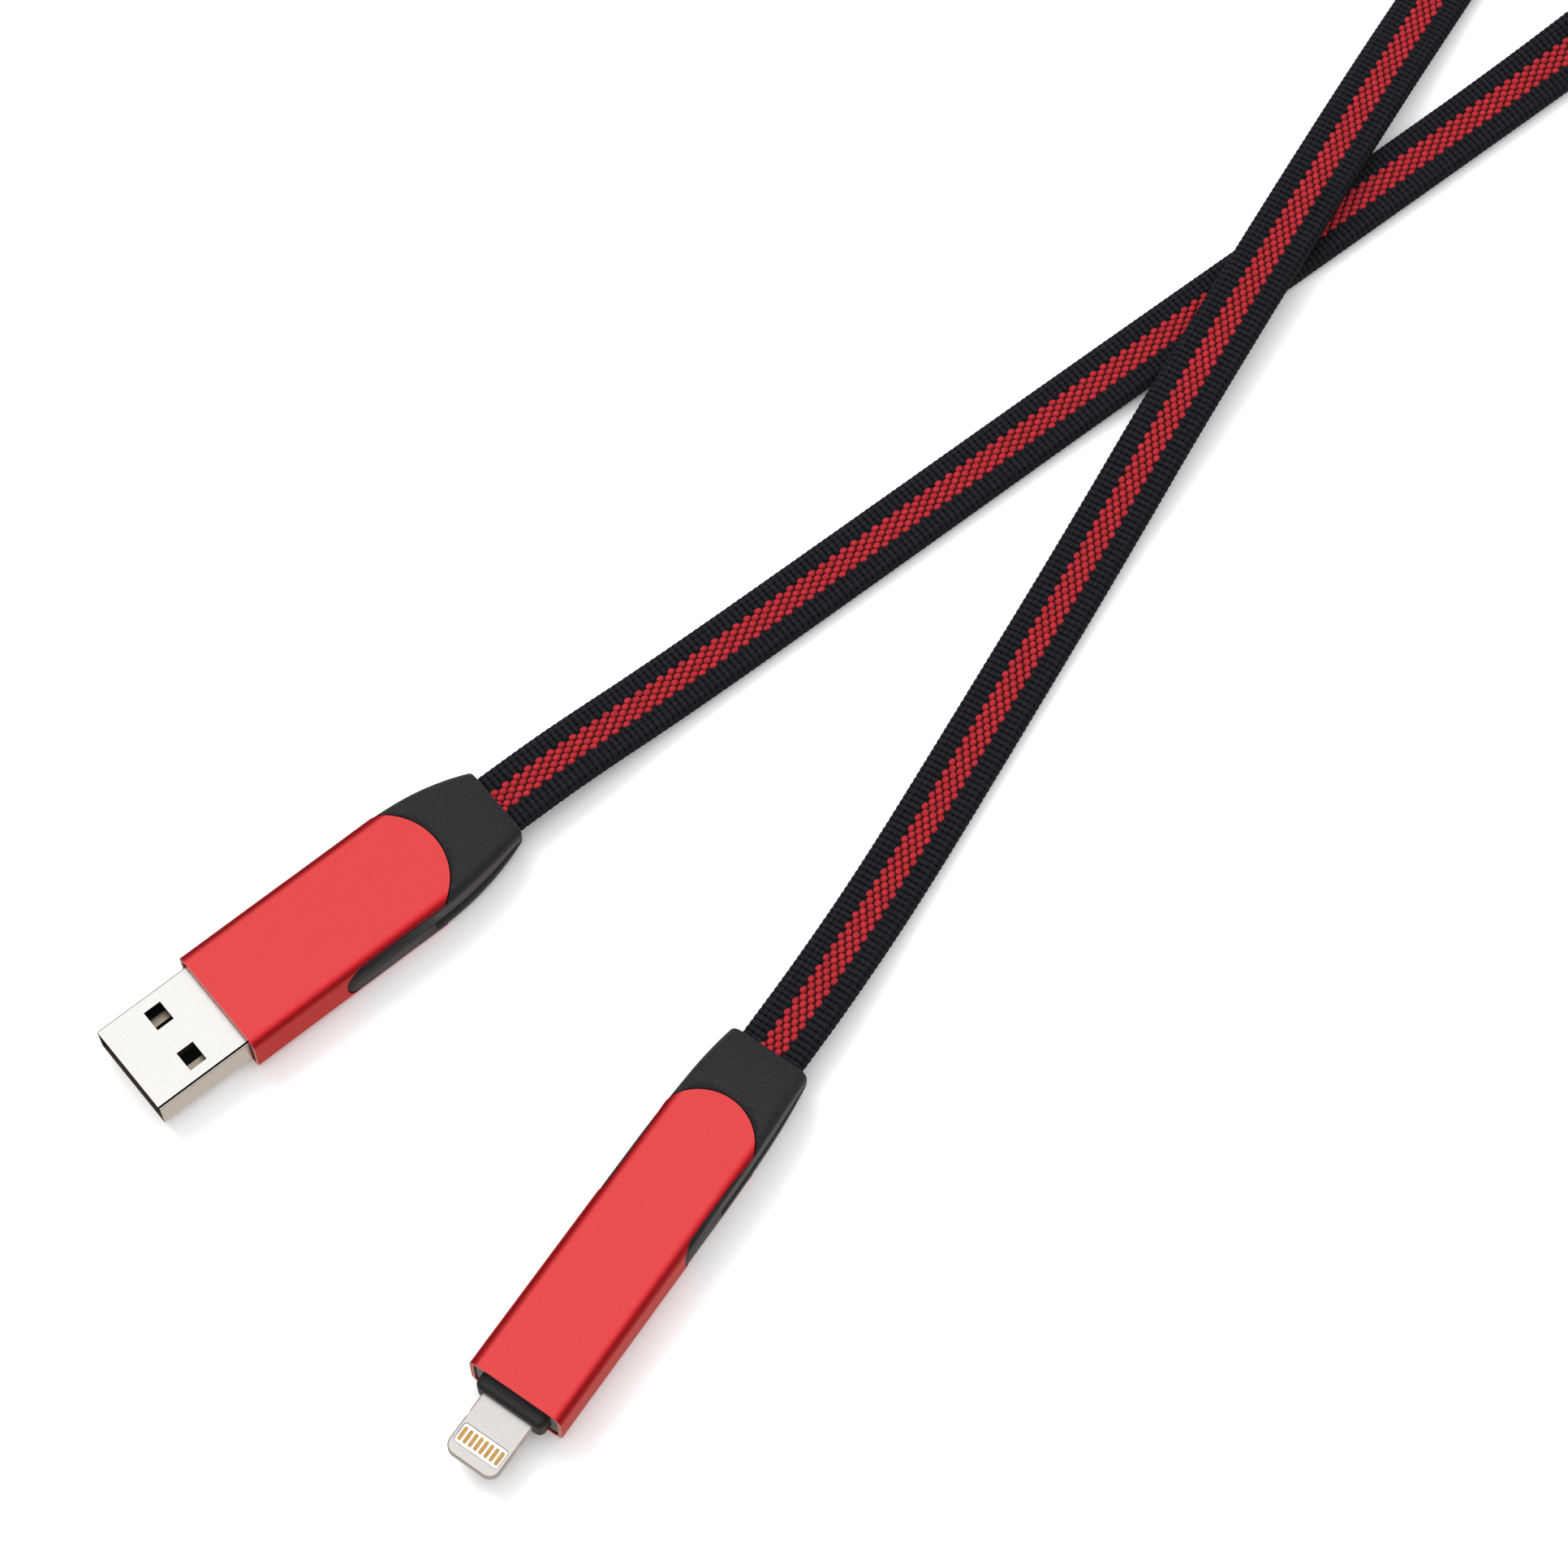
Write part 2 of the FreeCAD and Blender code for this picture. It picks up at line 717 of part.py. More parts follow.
def wide_inside():
    """Insulator, contacts, retainer, board and inner mouldings of the wide plug."""
    front = -size("shell_reach")
    rear = size("shell_seat")
    inner_half = size("shell_width") / 2 - size("shell_wall") - size("shell_bore_radius")
    floor = middle - size("shell_height") / 2 + size("shell_wall")
    ceiling = middle + size("shell_height") / 2 - size("shell_wall") - seat
    tongue_top = floor + size("insulator_thickness")
    contact_top = tongue_top + size("contact_thickness")
    tongue_front = front + size("insulator_setback")
    place_wide(
        block("insulator_block", -inner_half, inner_half, tongue_front, rear, floor, tongue_top),
        "wide_plug_insulator",
    )
    mouth_rear = front + size("mouth_depth")
    place_wide(
        block("retainer_block", -inner_half, inner_half, mouth_rear, rear, contact_top, ceiling),
        "wide_plug_retainer",
    )
    tail_rear = rear + size("contact_tail")
    offsets = [
        ("power", -size("contact_outer_offset"), size("contact_outer_setback")),
        ("data_minus", -size("contact_inner_offset"), size("contact_inner_setback")),
        ("data_plus", size("contact_inner_offset"), size("contact_inner_setback")),
        ("ground", size("contact_outer_offset"), size("contact_outer_setback")),
    ]
    half = size("contact_width") / 2
    for tag, across, setback in offsets:
        strip = block(
            "contact_strip_" + tag, across - half, across + half, front + setback, tail_rear, tongue_top, contact_top
        )
        place_wide(strip, "wide_plug_contact_" + tag)
    board_front = rear + seat
    board_rear = board_front + size("wide_board_length")
    board_half = size("wide_board_width") / 2
    board_low = tongue_top - size("board_thickness")
    place_wide(
        block("wide_board_block", -board_half, board_half, board_front, board_rear, board_low, tongue_top),
        "wide_plug_circuit_board",
    )
    shell_room = bar(
        "wide_core_shell_room",
        size("shell_width") / 2 + seat,
        size("shell_height") / 2 + seat,
        -FAR,
        rear + seat,
    )
    board_room = block(
        "wide_core_board_room",
        -board_half - seat,
        board_half + seat,
        rear,
        FAR,
        board_low,
        middle + size("shell_height") / 2 - size("shell_wall"),
    )
    core_halves(
        "wide_plug",
        wide_half_width,
        size("wide_sleeve_length"),
        size("wide_slot_reach"),
        size("wide_core_recess"),
        [shell_room, board_room],
        place_wide,
    )
    wire_level = tongue_top + size("wire_radius")
    wire_front = board_rear - size("wire_overlap")
    wire_rear = ribbon_front(size("wide_sleeve_length"))
    wires("wide_plug", wire_front, wire_rear, wire_level, place_wide)


def wide_covers():
    """Sleeve, boot halves and crimp of the wide plug."""
    length = size("wide_sleeve_length")
    radius = size("wide_tongue_radius")
    place_wide(sleeve("wide", wide_half_width, length, radius), "wide_plug_sleeve")
    side = (
        size("wide_boot_side_start"),
        ribbon_half_width + size("wide_boot_mouth_wall"),
        size("wide_boot_length"),
    )
    slope = (size("wide_boot_slope_start"), size("wide_boot_mouth_drop"))
    boot_halves("wide_plug", wide_half_width, length, radius, side, slope, place_wide)


# Slim plug


def rounded_plan(half_width, front, rear, radius):
    """A rectangle in plan with its two front corners rounded."""
    return [
        (-half_width + radius, front, radius),
        (half_width - radius, front),
        (half_width, front + radius, radius),
        (half_width, rear),
        (-half_width, rear),
        (-half_width, front + radius),
    ]


def pad_row(name, low, high):
    """The row of contact pads on one face of the tab, each with round ends."""
    radius = size("pad_width") / 2
    reach = -size("collar_reach") - size("tab_length") + size("tab_window_reach")
    centre = reach + size("tab_window_length") / 2
    near = centre - size("pad_length") / 2 + radius
    far = centre + size("pad_length") / 2 - radius
    pads = []
    for i in range(PAD_COUNT):
        across = size("pad_count_pitch") * (i - (PAD_COUNT - 1) / 2)
        corners = [
            (across + radius, near, radius),
            (across + radius, far),
            (across - radius, far, radius),
            (across - radius, near),
        ]
        pads.append(plate(name + str(i + 1), corners, low, high))
    return group(name, pads)


def window_plan(tab_front, inset):
    """Plan of the tab's window, or of what lies inside it by an inset."""
    half = size("tab_window_width") / 2 - inset
    front = tab_front + size("tab_window_reach") + inset
    rear = tab_front + size("tab_window_reach") + size("tab_window_length") - inset
    radius = size("tab_window_radius") - inset
    return [
        (-half + radius, front, radius),
        (half - radius, front),
        (half, front + radius, radius),
        (half, rear - radius),
        (half - radius, rear, radius),
        (-half + radius, rear),
        (-half, rear - radius, radius),
        (-half, front + radius),
    ]


def slim_tab():
    """The steel tab, its window insulator and its two rows of pads."""
    base = -size("collar_reach")
    front = base - size("tab_length")
    half_width = size("tab_width") / 2
    half_thickness = size("tab_thickness") / 2
    low = middle - half_thickness
    high = middle + half_thickness
    blank = plate(
        "tab_blank", rounded_plan(half_width, front, size("tab_root"), size("tab_corner_radius")), low, high
    )
    rim = []
    for name, edge in edges_of(blank.Shape):
        box = edge.BoundBox
        level = box.ZMax - box.ZMin < TINY
        if level and box.YMin < size("tab_root").number - TINY:
            rim.append(name)
    round_edges(blank, blank.Tip, rim, size("tab_edge_radius"))
    window = plate("tab_window", window_plan(front, NONE), NONE, size("plug_height"))
    notches = []
    notch_across = half_width + size("tab_notch_radius") - size("tab_notch_depth")
    notch_reach = front + size("tab_notch_reach")
    for tag, across in (("left", -notch_across), ("right", notch_across)):
        notches.append(
            post("tab_notch_" + tag, size("tab_notch_radius"), across, notch_reach, NONE, size("plug_height"))
        )
    place_slim(cut("tab_cut", blank, window, *notches), "slim_plug_tab")
    pad_low = high - size("pad_depth")
    pad_high = high - size("pad_inset_depth")
    upper_pads = pad_row("tab_pads_upper", pad_low, pad_high)
    lower_pads = pad_row("tab_pads_lower", low + size("pad_inset_depth"), low + size("pad_depth"))
    filler_plan = window_plan(front, size("tab_window_gap"))
    filler = plate("tab_filler", filler_plan, low + size("pad_inset_depth") * 2, high - size("pad_inset_depth") * 2)
    upper_room = pad_row("tab_pad_rooms_upper", pad_low, high)
    lower_room = pad_row("tab_pad_rooms_lower", low, low + size("pad_depth"))
    place_slim(cut("tab_filler_cut", filler, upper_room, lower_room), "slim_plug_insulator")
    place_slim(upper_pads, "slim_plug_pads_upper")
    place_slim(lower_pads, "slim_plug_pads_lower")


def slim_collar():
    """The rounded black collar that the tab stands in."""
    front = -size("collar_reach")
    face = size("slim_core_recess")
    body = bar(
        "collar_body", size("collar_width") / 2, size("collar_height") / 2, front, face, size("collar_radius")
    )
    rim = []
    for name, edge in edges_of(body.Shape):
        box = edge.BoundBox
        if abs(box.YMax - front.number) < TINY:
            rim.append(name)
    round_edges(body, body.Tip, rim, size("collar_radius") * 0.9)
    root_half_width = size("collar_root_width") / 2
    root_half_height = size("collar_root_height") / 2
    root_rear = face + size("collar_root_depth")
    root = bar("collar_root", root_half_width, root_half_height, NONE, root_rear)
    hole = bar(
        "collar_hole", size("tab_width") / 2 + seat, size("tab_thickness") / 2 + seat, -FAR, FAR
    )
    place_slim(cut("collar_cut", join("collar_whole", body, root), hole), "slim_plug_collar")
    return root_half_width, root_half_height, root_rear


def slim_inside(collar_root):
    """Board, control chip and inner mouldings of the slim plug."""
    root_half_width, root_half_height, root_rear = collar_root
    board_front = size("tab_root") + seat
    board_rear = board_front + size("slim_board_length")
    board_half = size("slim_board_width") / 2
    board_low = middle - size("board_thickness") / 2
    board_top = middle + size("board_thickness") / 2
    place_slim(
        block("slim_board_block", -board_half, board_half, board_front, board_rear, board_low, board_top),
        "slim_plug_circuit_board",
    )
    chip_half = size("chip_width") / 2
    chip_front = board_front + size("chip_reach")
    chip_rear = chip_front + size("chip_length")
    chip_top = board_top + size("chip_height")
    place_slim(
        block("chip_block", -chip_half, chip_half, chip_front, chip_rear, board_top, chip_top),
        "slim_plug_control_chip",
    )
    collar_room = bar(
        "slim_core_collar_room", root_half_width + seat, root_half_height + seat, -FAR, root_rear + seat
    )
    tab_room = bar(
        "slim_core_tab_room", size("tab_width") / 2 + seat, size("tab_thickness") / 2 + seat, -FAR, size("tab_root")
    )
    board_room = block(
        "slim_core_board_room",
        -board_half - seat,
        board_half + seat,
        size("tab_root"),
        FAR,
        board_low,
        chip_top + seat,
    )
    core_halves(
        "slim_plug",
        slim_half_width,
        size("slim_sleeve_length"),
        size("slim_slot_reach"),
        size("slim_core_recess"),
        [collar_room, tab_room, board_room],
        place_slim,
    )
    wire_front = board_rear - size("wire_overlap")
    wire_level = board_top + size("wire_radius")
    wire_rear = ribbon_front(size("slim_sleeve_length"))
    wires("slim_plug", wire_front, wire_rear, wire_level, place_slim)


def slim_covers():
    """Sleeve, boot halves and crimp of the slim plug."""
    length = size("slim_sleeve_length")
    radius = size("slim_tongue_radius")
    place_slim(sleeve("slim", slim_half_width, length, radius), "slim_plug_sleeve")
    side = (
        size("slim_boot_side_start"),
        ribbon_half_width + size("slim_boot_mouth_wall"),
        size("slim_boot_length"),
    )
    slope = (size("slim_boot_slope_start"), size("slim_boot_mouth_drop"))
    boot_halves("slim_plug", slim_half_width, length, radius, side, slope, place_slim)


wide_shell()
wide_inside()
wide_covers()
slim_tab()
slim_inside(slim_collar())
slim_covers()


# Cord: two stretches of flat ribbon and the stored coil that joins them

MOUTH_HEIGHT = SIZES["plug_height"] / 2
FLOOR_HEIGHT = SIZES["ribbon_thickness"] / 2

# Route points of the stretch from the wide plug to the coil, past the first point in the boot
WIDE_ROUTE = [
    (0.0, 36.0, 3.35),
    (0.15, 52.0, 1.35),
    (0.75, 80.0, FLOOR_HEIGHT),
    (1.5, 118.0, FLOOR_HEIGHT),
    (2.55, 158.0, FLOOR_HEIGHT),
    (3.35, 191.5, FLOOR_HEIGHT),
    (3.75, 208.6, 2.6),
    (8.2, 224.6, 5.6),
]

# Route points of the stretch from the slim plug, over the other one and under the coil
SLIM_ROUTE = [
    (40.75, 40.2, 3.35),
    (35.7, 55.0, 1.35),
    (26.6, 79.5, FLOOR_HEIGHT),
    (18.1, 102.2, 1.35),
    (9.9, 124.2, 4.05),
    (-5.6, 166.8, 4.05),
    (-15.2, 194.0, 1.3),
    (-24.6, 222.5, FLOOR_HEIGHT),
    (-32.8, 246.0, 1.4),
    (-41.7, 270.5, 6.2),
]


def rounded_path(points):
    """A wire of straight runs joined by tangent arcs, with the arcs' radii."""
    points = [Vector(*p) for p in points]
    edges = []
    radii = []
    here = points[0]
    for before, corner, after in zip(points, points[1:], points[2:]):
        inward = before - corner
        outward = after - corner
        trim = 0.45 * min(inward.Length, outward.Length)
        inward.normalize()
        outward.normalize()
        half_turn = (math.pi - inward.getAngle(outward)) / 2
        radius = trim / math.tan(half_turn)
        start = corner + inward * trim
        finish = corner + outward * trim
        towards = (inward + outward).normalize()
        centre_distance = radius / math.cos(half_turn)
        top = corner + towards * (centre_distance - radius)
        edges.append(Part.LineSegment(here, start).toShape())
        edges.append(Part.Arc(start, top, finish).toShape())
        radii.append(round(radius, 1))
        here = finish
    edges.append(Part.LineSegment(here, points[-1]).toShape())
    return Part.Wire(edges), radii


def ribbon(name, points):
    """A flat ribbon of the cord swept along its route."""
    path, radii = rounded_path(points)
    heading = Vector(*points[1]) - Vector(*points[0])
    heading.normalize()
    across = heading.cross(Vector(0, 0, 1)).normalize()
    upright = across.cross(heading)
    centre = Vector(*points[0])
    half_width = SIZES["ribbon_width"] / 2
    half_thickness = SIZES["ribbon_thickness"] / 2
    corners = []
    for side, rise in ((-1, -1), (1, -1), (1, 1), (-1, 1), (-1, -1)):
        corners.append(centre + across * (side * half_width) + upright * (rise * half_thickness))
    section = Part.makePolygon(corners)
    solid = path.makePipeShell([section], True, False)
    expected = SIZES["ribbon_width"] * SIZES["ribbon_thickness"] * path.Length
    print(name, "bend radii", radii, "length", round(path.Length, 1), "volume ratio", solid.Volume / expected)
    return solid


def ring(name, inner, outer, low, high):
    """A flat ring about the coil's axis."""
    body = doc.addObject("PartDesign::Body", name)
    sketch = start_sketch(body, name + "_plan", "XY_Plane", low)
    for i, radius in enumerate((inner, outer)):
        sketch.addGeometry(Part.Circle(Vector(0, 0, 0), Vector(0, 0, 1), radius.number), False)
        sketch.addConstraint(Sketcher.Constraint("Coincident", i, 3, -1, 1))
        number = sketch.addConstraint(Sketcher.Constraint("Radius", i, radius.number))
        sketch.renameConstraint(number, "radius" + str(i))
        bind(sketch, "Constraints.radius" + str(i), radius)
    pad_profile(body, sketch, high - low)
    doc.recompute()
    return body


def place_coil(item, node):
    """Put a piece of the coil in the part's frame."""
    item.Label = node
    bind(item, ".Placement.Base.x", size("coil_place_x"))
    bind(item, ".Placement.Base.y", size("coil_place_y"))
    nodes[node] = item


def coil_and_ties():
    """The coil's outer shape and the two straps closed around its turns."""
    inner = size("coil_inner_radius")
    outer = size("coil_outer_radius")
    low = size("coil_lift")
    high = low + size("ribbon_width")
    turns = ring("coil_ring", inner, outer, low, high)
    place_coil(turns, "cord_coil")
    thickness = size("tie_thickness")
    slack = size("tie_gap")
    hole = ring("tie_hole", inner - slack, outer + slack, low - slack, high + slack)
    for tag, angle in (("right", size("tie_right_angle")), ("far", size("tie_far_angle"))):
        strap = block(
            "tie_strap_" + tag,
            inner - slack - thickness,
            outer + slack + thickness,
            -size("tie_width") / 2,
            size("tie_width") / 2,
            low - slack - thickness,
            high + slack + thickness,
        )
        turned = carrier(strap)
        bind(turned, ".Placement.Rotation.Angle", angle)
        place_coil(cut("tie_cut_" + tag, turned, hole), "coil_tie_" + tag)
    return turns


def on_axis(node, reach):
    """A point on a plug's axis, in the part's frame."""
    point = nodes[node].Placement.multVec(Vector(0, reach, MOUTH_HEIGHT))
    return (point.x, point.y, point.z)


def leaving(plug):
    """The ribbon's first two points: inside the crimp and just past the boot's mouth."""
    node = plug + "_plug_sleeve"
    inner = SIZES[plug + "_sleeve_length"] - SIZES["ribbon_inset"]
    outer = SIZES[plug + "_boot_length"] + SIZES["mouth_lead"]
    return [on_axis(node, inner), on_axis(node, outer)]


def cord_stretch(node, points, coil_shape):
    """One stretch of the cord, trimmed where it meets the coil."""
    solid = ribbon(node, points)
    trimmed = solid.cut(coil_shape)
    piece = max(trimmed.Solids, key=lambda s: s.Volume)
    feature = doc.addObject("Part::Feature", node + "_solid")
    feature.Shape = piece
    feature.Label = node
    nodes[node] = feature


turns = coil_and_ties()
doc.recompute()
cord_stretch("cord_wide_side", leaving("wide") + WIDE_ROUTE, turns.Shape)
cord_stretch("cord_slim_side", leaving("slim") + SLIM_ROUTE, turns.Shape)
doc.recompute()


# Every object has to be sound before the files are written

for item in doc.Objects:
    if "Invalid" in item.State or "Error" in item.State:
        raise RuntimeError(item.Label + " did not compute: " + str(item.State))

for node, item in nodes.items():
    shape = item.Shape
    if shape.isNull() or not shape.isValid() or not shape.Solids:
        raise RuntimeError(node + " has no valid solid")
    print(node, "solids", len(shape.Solids), "volume", round(shape.Volume, 2))

os.makedirs("parts", exist_ok=True)
for node, item in nodes.items():
    item.Shape.exportStep("parts/" + node + ".step")
print(len(nodes), "nodes written")
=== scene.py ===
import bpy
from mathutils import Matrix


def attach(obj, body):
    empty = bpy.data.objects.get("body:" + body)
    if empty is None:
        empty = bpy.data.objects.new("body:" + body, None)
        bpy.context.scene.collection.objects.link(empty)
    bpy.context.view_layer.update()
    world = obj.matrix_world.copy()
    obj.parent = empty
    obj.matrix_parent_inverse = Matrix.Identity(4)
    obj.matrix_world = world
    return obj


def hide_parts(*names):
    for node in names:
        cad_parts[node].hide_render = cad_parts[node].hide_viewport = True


bl_info = {
    "name": "Flat Charging Cable",
    "version": (1, 0, 0),
    "blender": (4, 5, 0),
    "location": "3D View > Sidebar > Charging Cable",
    "description": "Dresses a flat woven charging cable with its two plugs, its coil and its stage",
    "category": "Object",
}

import math

import bmesh
import bpy
from mathutils import Matrix, Vector

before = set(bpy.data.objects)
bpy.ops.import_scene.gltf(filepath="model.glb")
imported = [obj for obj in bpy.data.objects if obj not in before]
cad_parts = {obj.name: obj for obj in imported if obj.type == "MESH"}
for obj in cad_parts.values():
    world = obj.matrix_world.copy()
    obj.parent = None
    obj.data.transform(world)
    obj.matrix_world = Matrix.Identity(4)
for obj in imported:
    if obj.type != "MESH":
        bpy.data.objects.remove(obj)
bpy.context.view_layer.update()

MM = 0.001

# The camera: its place in metres, the way it is turned, its lens in millimetres and its reach in metres
CAMERA_PLACE = (0.15503, -0.07108, 0.42354)
CAMERA_RIGHT = (0.640422, 0.767791, 0.018871)
CAMERA_UP = (-0.708316, 0.580958, 0.400968)
CAMERA_FORWARD = (-0.296897, 0.270155, -0.915898)
CAMERA_SENSOR = 36.0
CAMERA_LENS = 90.44
CAMERA_REACH = (0.01, 20.0)

# The floor: its reach to each side and its depth under the cable in metres, its tone, and its own faint
# light, which softens the shadows
FLOOR_REACH = 12.0
FLOOR_DEPTH = 0.05 * MM
FLOOR_TONE = (0.88, 0.88, 0.88)
FLOOR_GLOW = 0.08

# The room's light: straight down, straight up, and by height between them, which are -1 and 1
ROOM_BELOW = (0.52, 0.46, 0.41)
ROOM_ABOVE = (1.0, 1.0, 1.0)
ROOM_BETWEEN = {
    -0.77: (0.48, 0.43, 0.38),
    -0.44: (0.36, 0.325, 0.29),
    0.0: (0.26, 0.25, 0.24),
    0.2: (0.30, 0.30, 0.30),
    0.5: (0.46, 0.46, 0.46),
    0.7: (0.74, 0.74, 0.74),
    0.85: (0.98, 0.98, 0.98),
}
ROOM_STRENGTH = 1.04

# The lamps, each with its place and width in metres and its power in watts, and the point that all face
LAMPS = {
    "key_light": {"place": (-0.80, 0.10, 0.95), "width": 0.8, "power": 11.5},
    "top_light": {"place": (0.10, 0.0, 1.30), "width": 1.4, "power": 7.0},
}
LAMP_AIM = (0.02, 0.07, 0.0)

# The cord's route in millimetres, with the ribbon's turn about its own line in degrees
MID_HEIGHT = 3.65
LYING = 1.2
FROM_WIDE_PLUG = [
    (0.0, 19.0, MID_HEIGHT, 0),
    (0.0, 27.2, MID_HEIGHT, 0),
    (0.0, 36.0, 3.35, 0),
    (0.15, 52.0, 1.35, 0),
    (0.75, 80.0, LYING, 0),
    (1.5, 118.0, LYING, 0),
    (2.55, 158.0, LYING, 0),
    (3.35, 191.5, 1.4, 3),
    (3.75, 208.6, 3.3, 42),
    (12.2, 223.4, 5.6, 80),
]
TO_SLIM_PLUG = [
    (-33.2, 247.5, 1.35, 0),
    (-24.6, 222.5, LYING, 0),
    (-15.2, 194.0, 1.3, 0),
    (-5.6, 166.8, 4.05, 0),
    (9.9, 124.2, 4.05, 0),
    (18.1, 102.2, 1.35, 0),
    (26.6, 79.5, LYING, 0),
    (35.7, 55.0, 1.35, 0),
    (40.75, 40.2, 3.35, 0),
    (43.07, 32.07, MID_HEIGHT, 0),
    (45.37, 23.83, MID_HEIGHT, 0),
]

# The coil between them, in millimetres and degrees: wound on edge, and eased flat from COIL_EASE on
COIL_CENTRE = (-3.6, 265.2)
COIL_FIRST = 302.0
COIL_EASE = 817.0
COIL_LAST = 919.8
COIL_STEPS = 27
COIL_RADIUS = 44.0
COIL_PITCH = 3.1
COIL_HEIGHT = 6.65
COIL_END_RADIUS = 34.0
COIL_END_HEIGHT = 1.5
ON_EDGE = 90.0

# How finely the cord is made
LINE_STEPS = 24
RED_KNOT_SIDES = 8
RIB_KNOT_SIDES = 6
KNOT_RINGS = 4
REPEAT_JOIN = 0.005 * MM

# Where the two knots of a repeat stand along it, as shares of its length
KNOT_PLACES = (0.25, 0.75)

# The ribbon's ground, as a share of its border threads' colour: painted shade under and between the knots
GROUND_PAINTED_SHADE = 0.35

# The plugs and the way that each points, and the halves that some of their pieces come in
POINTING = {"wide_plug": (0.0, -1.0, 0.0), "slim_plug": (0.268079, -0.963397, 0.0)}
PLUGS = tuple(POINTING)
HALVES = ("upper", "lower")

# How a solid's mesh is joined, from which angles its edges are broken and left sharp, and how finely
# they are rounded
JOIN_WITHIN = 0.001 * MM
FLAT_WITHIN = math.radians(0.05)
BREAK_FROM = math.radians(35.0)
SHARP_FROM = math.radians(30.0)
BREAK_SEGMENTS = 2
STRAP_SEGMENTS = 5

# How straight a sleeve's cut edge faces ahead, and how near to a strap's outer faces its corners lie
FACING_AHEAD = 0.9
STRAP_NEAR = 0.05 * MM

# The span of a noise that is used, for values and for colours
VALUE_SPAN = (0.3, 0.7)
COLOUR_SPAN = (0.32, 0.68)

# Colours of what a user has no cause to change
CUT_EDGE = (0.72, 0.27, 0.23)
SATIN_STEEL = (0.81, 0.768, 0.738)
# Painted shade: a dark steel for the shell's inner faces, where shade falls
INNER_PAINTED_SHADE = (0.075, 0.055, 0.045)
CONTACT_NICKEL = (0.46, 0.39, 0.30)
STRAP_CLOTH = (0.009, 0.009, 0.010)
TONGUE_BLACK = (0.008, 0.008, 0.009)
COLLAR_BLACK = (0.0065, 0.006, 0.0075)
WINDOW_WHITE = (0.82, 0.82, 0.80)
CORE_GREY = (0.15, 0.15, 0.152)
BOARD_GREEN = (0.01, 0.09, 0.03)
CHIP_BLACK = (0.012, 0.012, 0.012)
WIRES = {
    "red": (0.45, 0.02, 0.02),
    "white": (0.72, 0.72, 0.70),
    "green": (0.02, 0.22, 0.05),
    "black": (0.015, 0.015, 0.015),
}


class CableSizes(bpy.types.PropertyGroup):
    """Sizes that only the dressing needs"""

    ribbon_width: bpy.props.FloatProperty(
        name="Ribbon width",
        description="Width of the flat cord",
        default=8.3 * MM,
        unit="LENGTH",
        precision=5,
    )
    ribbon_thickness: bpy.props.FloatProperty(
        name="Ribbon thickness",
        description="Thickness over the weave",
        default=2.4 * MM,
        unit="LENGTH",
        precision=5,
    )
    weave_pitch: bpy.props.FloatProperty(
        name="Weave pitch",
        description="Length of one repeat of the weave",
        default=1.64 * MM,
        unit="LENGTH",
        precision=5,
    )
    knot_length: bpy.props.FloatProperty(
        name="Knot length",
        description="Length of one red knot of the stripe",
        default=1.1 * MM,
        unit="LENGTH",
        precision=5,
    )
    knot_width: bpy.props.FloatProperty(
        name="Knot width",
        description="Width of one red knot of the stripe",
        default=0.88 * MM,
        unit="LENGTH",
        precision=5,
    )
    rib_length: bpy.props.FloatProperty(
        name="Rib length",
        description="Length along the cord of one border rib",
        default=0.88 * MM,
        unit="LENGTH",
        precision=5,
    )
    rib_knot_width: bpy.props.FloatProperty(
        name="Rib knot width",
        description="Width of one knot of a border rib",
        default=1.2 * MM,
        unit="LENGTH",
        precision=5,
    )
    weave_rise: bpy.props.FloatProperty(
        name="Weave rise",
        description="How far a knot stands over the ground",
        default=0.3 * MM,
        unit="LENGTH",
        precision=5,
    )
    stripe_lean: bpy.props.FloatProperty(
        name="Stripe lean",
        description="How far each row of the stripe lags, as a share of the repeat",
        default=0.045,
        min=0,
        max=0.2,
    )
    edge_calm: bpy.props.FloatProperty(
        name="Edge calm",
        description="How much lower and longer the knots get towards the ribbon's edge",
        default=0.4,
        min=0,
        max=0.8,
    )
    thread_rows: bpy.props.IntProperty(
        name="Thread rows",
        description="Threads around the whole ribbon",
        default=36,
        min=12,
        max=60,
    )
    stripe_rows: bpy.props.IntProperty(
        name="Stripe rows",
        description="Red threads on each face",
        default=6,
        min=2,
        max=12,
    )
    border_knots: bpy.props.IntProperty(
        name="Border knots",
        description="Knots of one rib around each edge of the ribbon",
        default=8,
        min=4,
        max=16,
    )
    sheet_skin: bpy.props.FloatProperty(
        name="Sheet skin",
        description="Depth of the shell's plated outer faces",
        default=0.11 * MM,
        unit="LENGTH",
        precision=5,
    )
    strap_corner: bpy.props.FloatProperty(
        name="Strap corner",
        description="Rounding of the straps' outer corners",
        default=1.6 * MM,
        unit="LENGTH",
        precision=5,
    )
    strap_edge: bpy.props.FloatProperty(
        name="Strap edge",
        description="Rounding of the straps' thin edges",
        default=0.2 * MM,
        unit="LENGTH",
        precision=5,
    )
    edge_break: bpy.props.FloatProperty(
        name="Edge break",
        description="Small rounding of machined edges",
        default=0.07 * MM,
        unit="LENGTH",
        precision=5,
    )


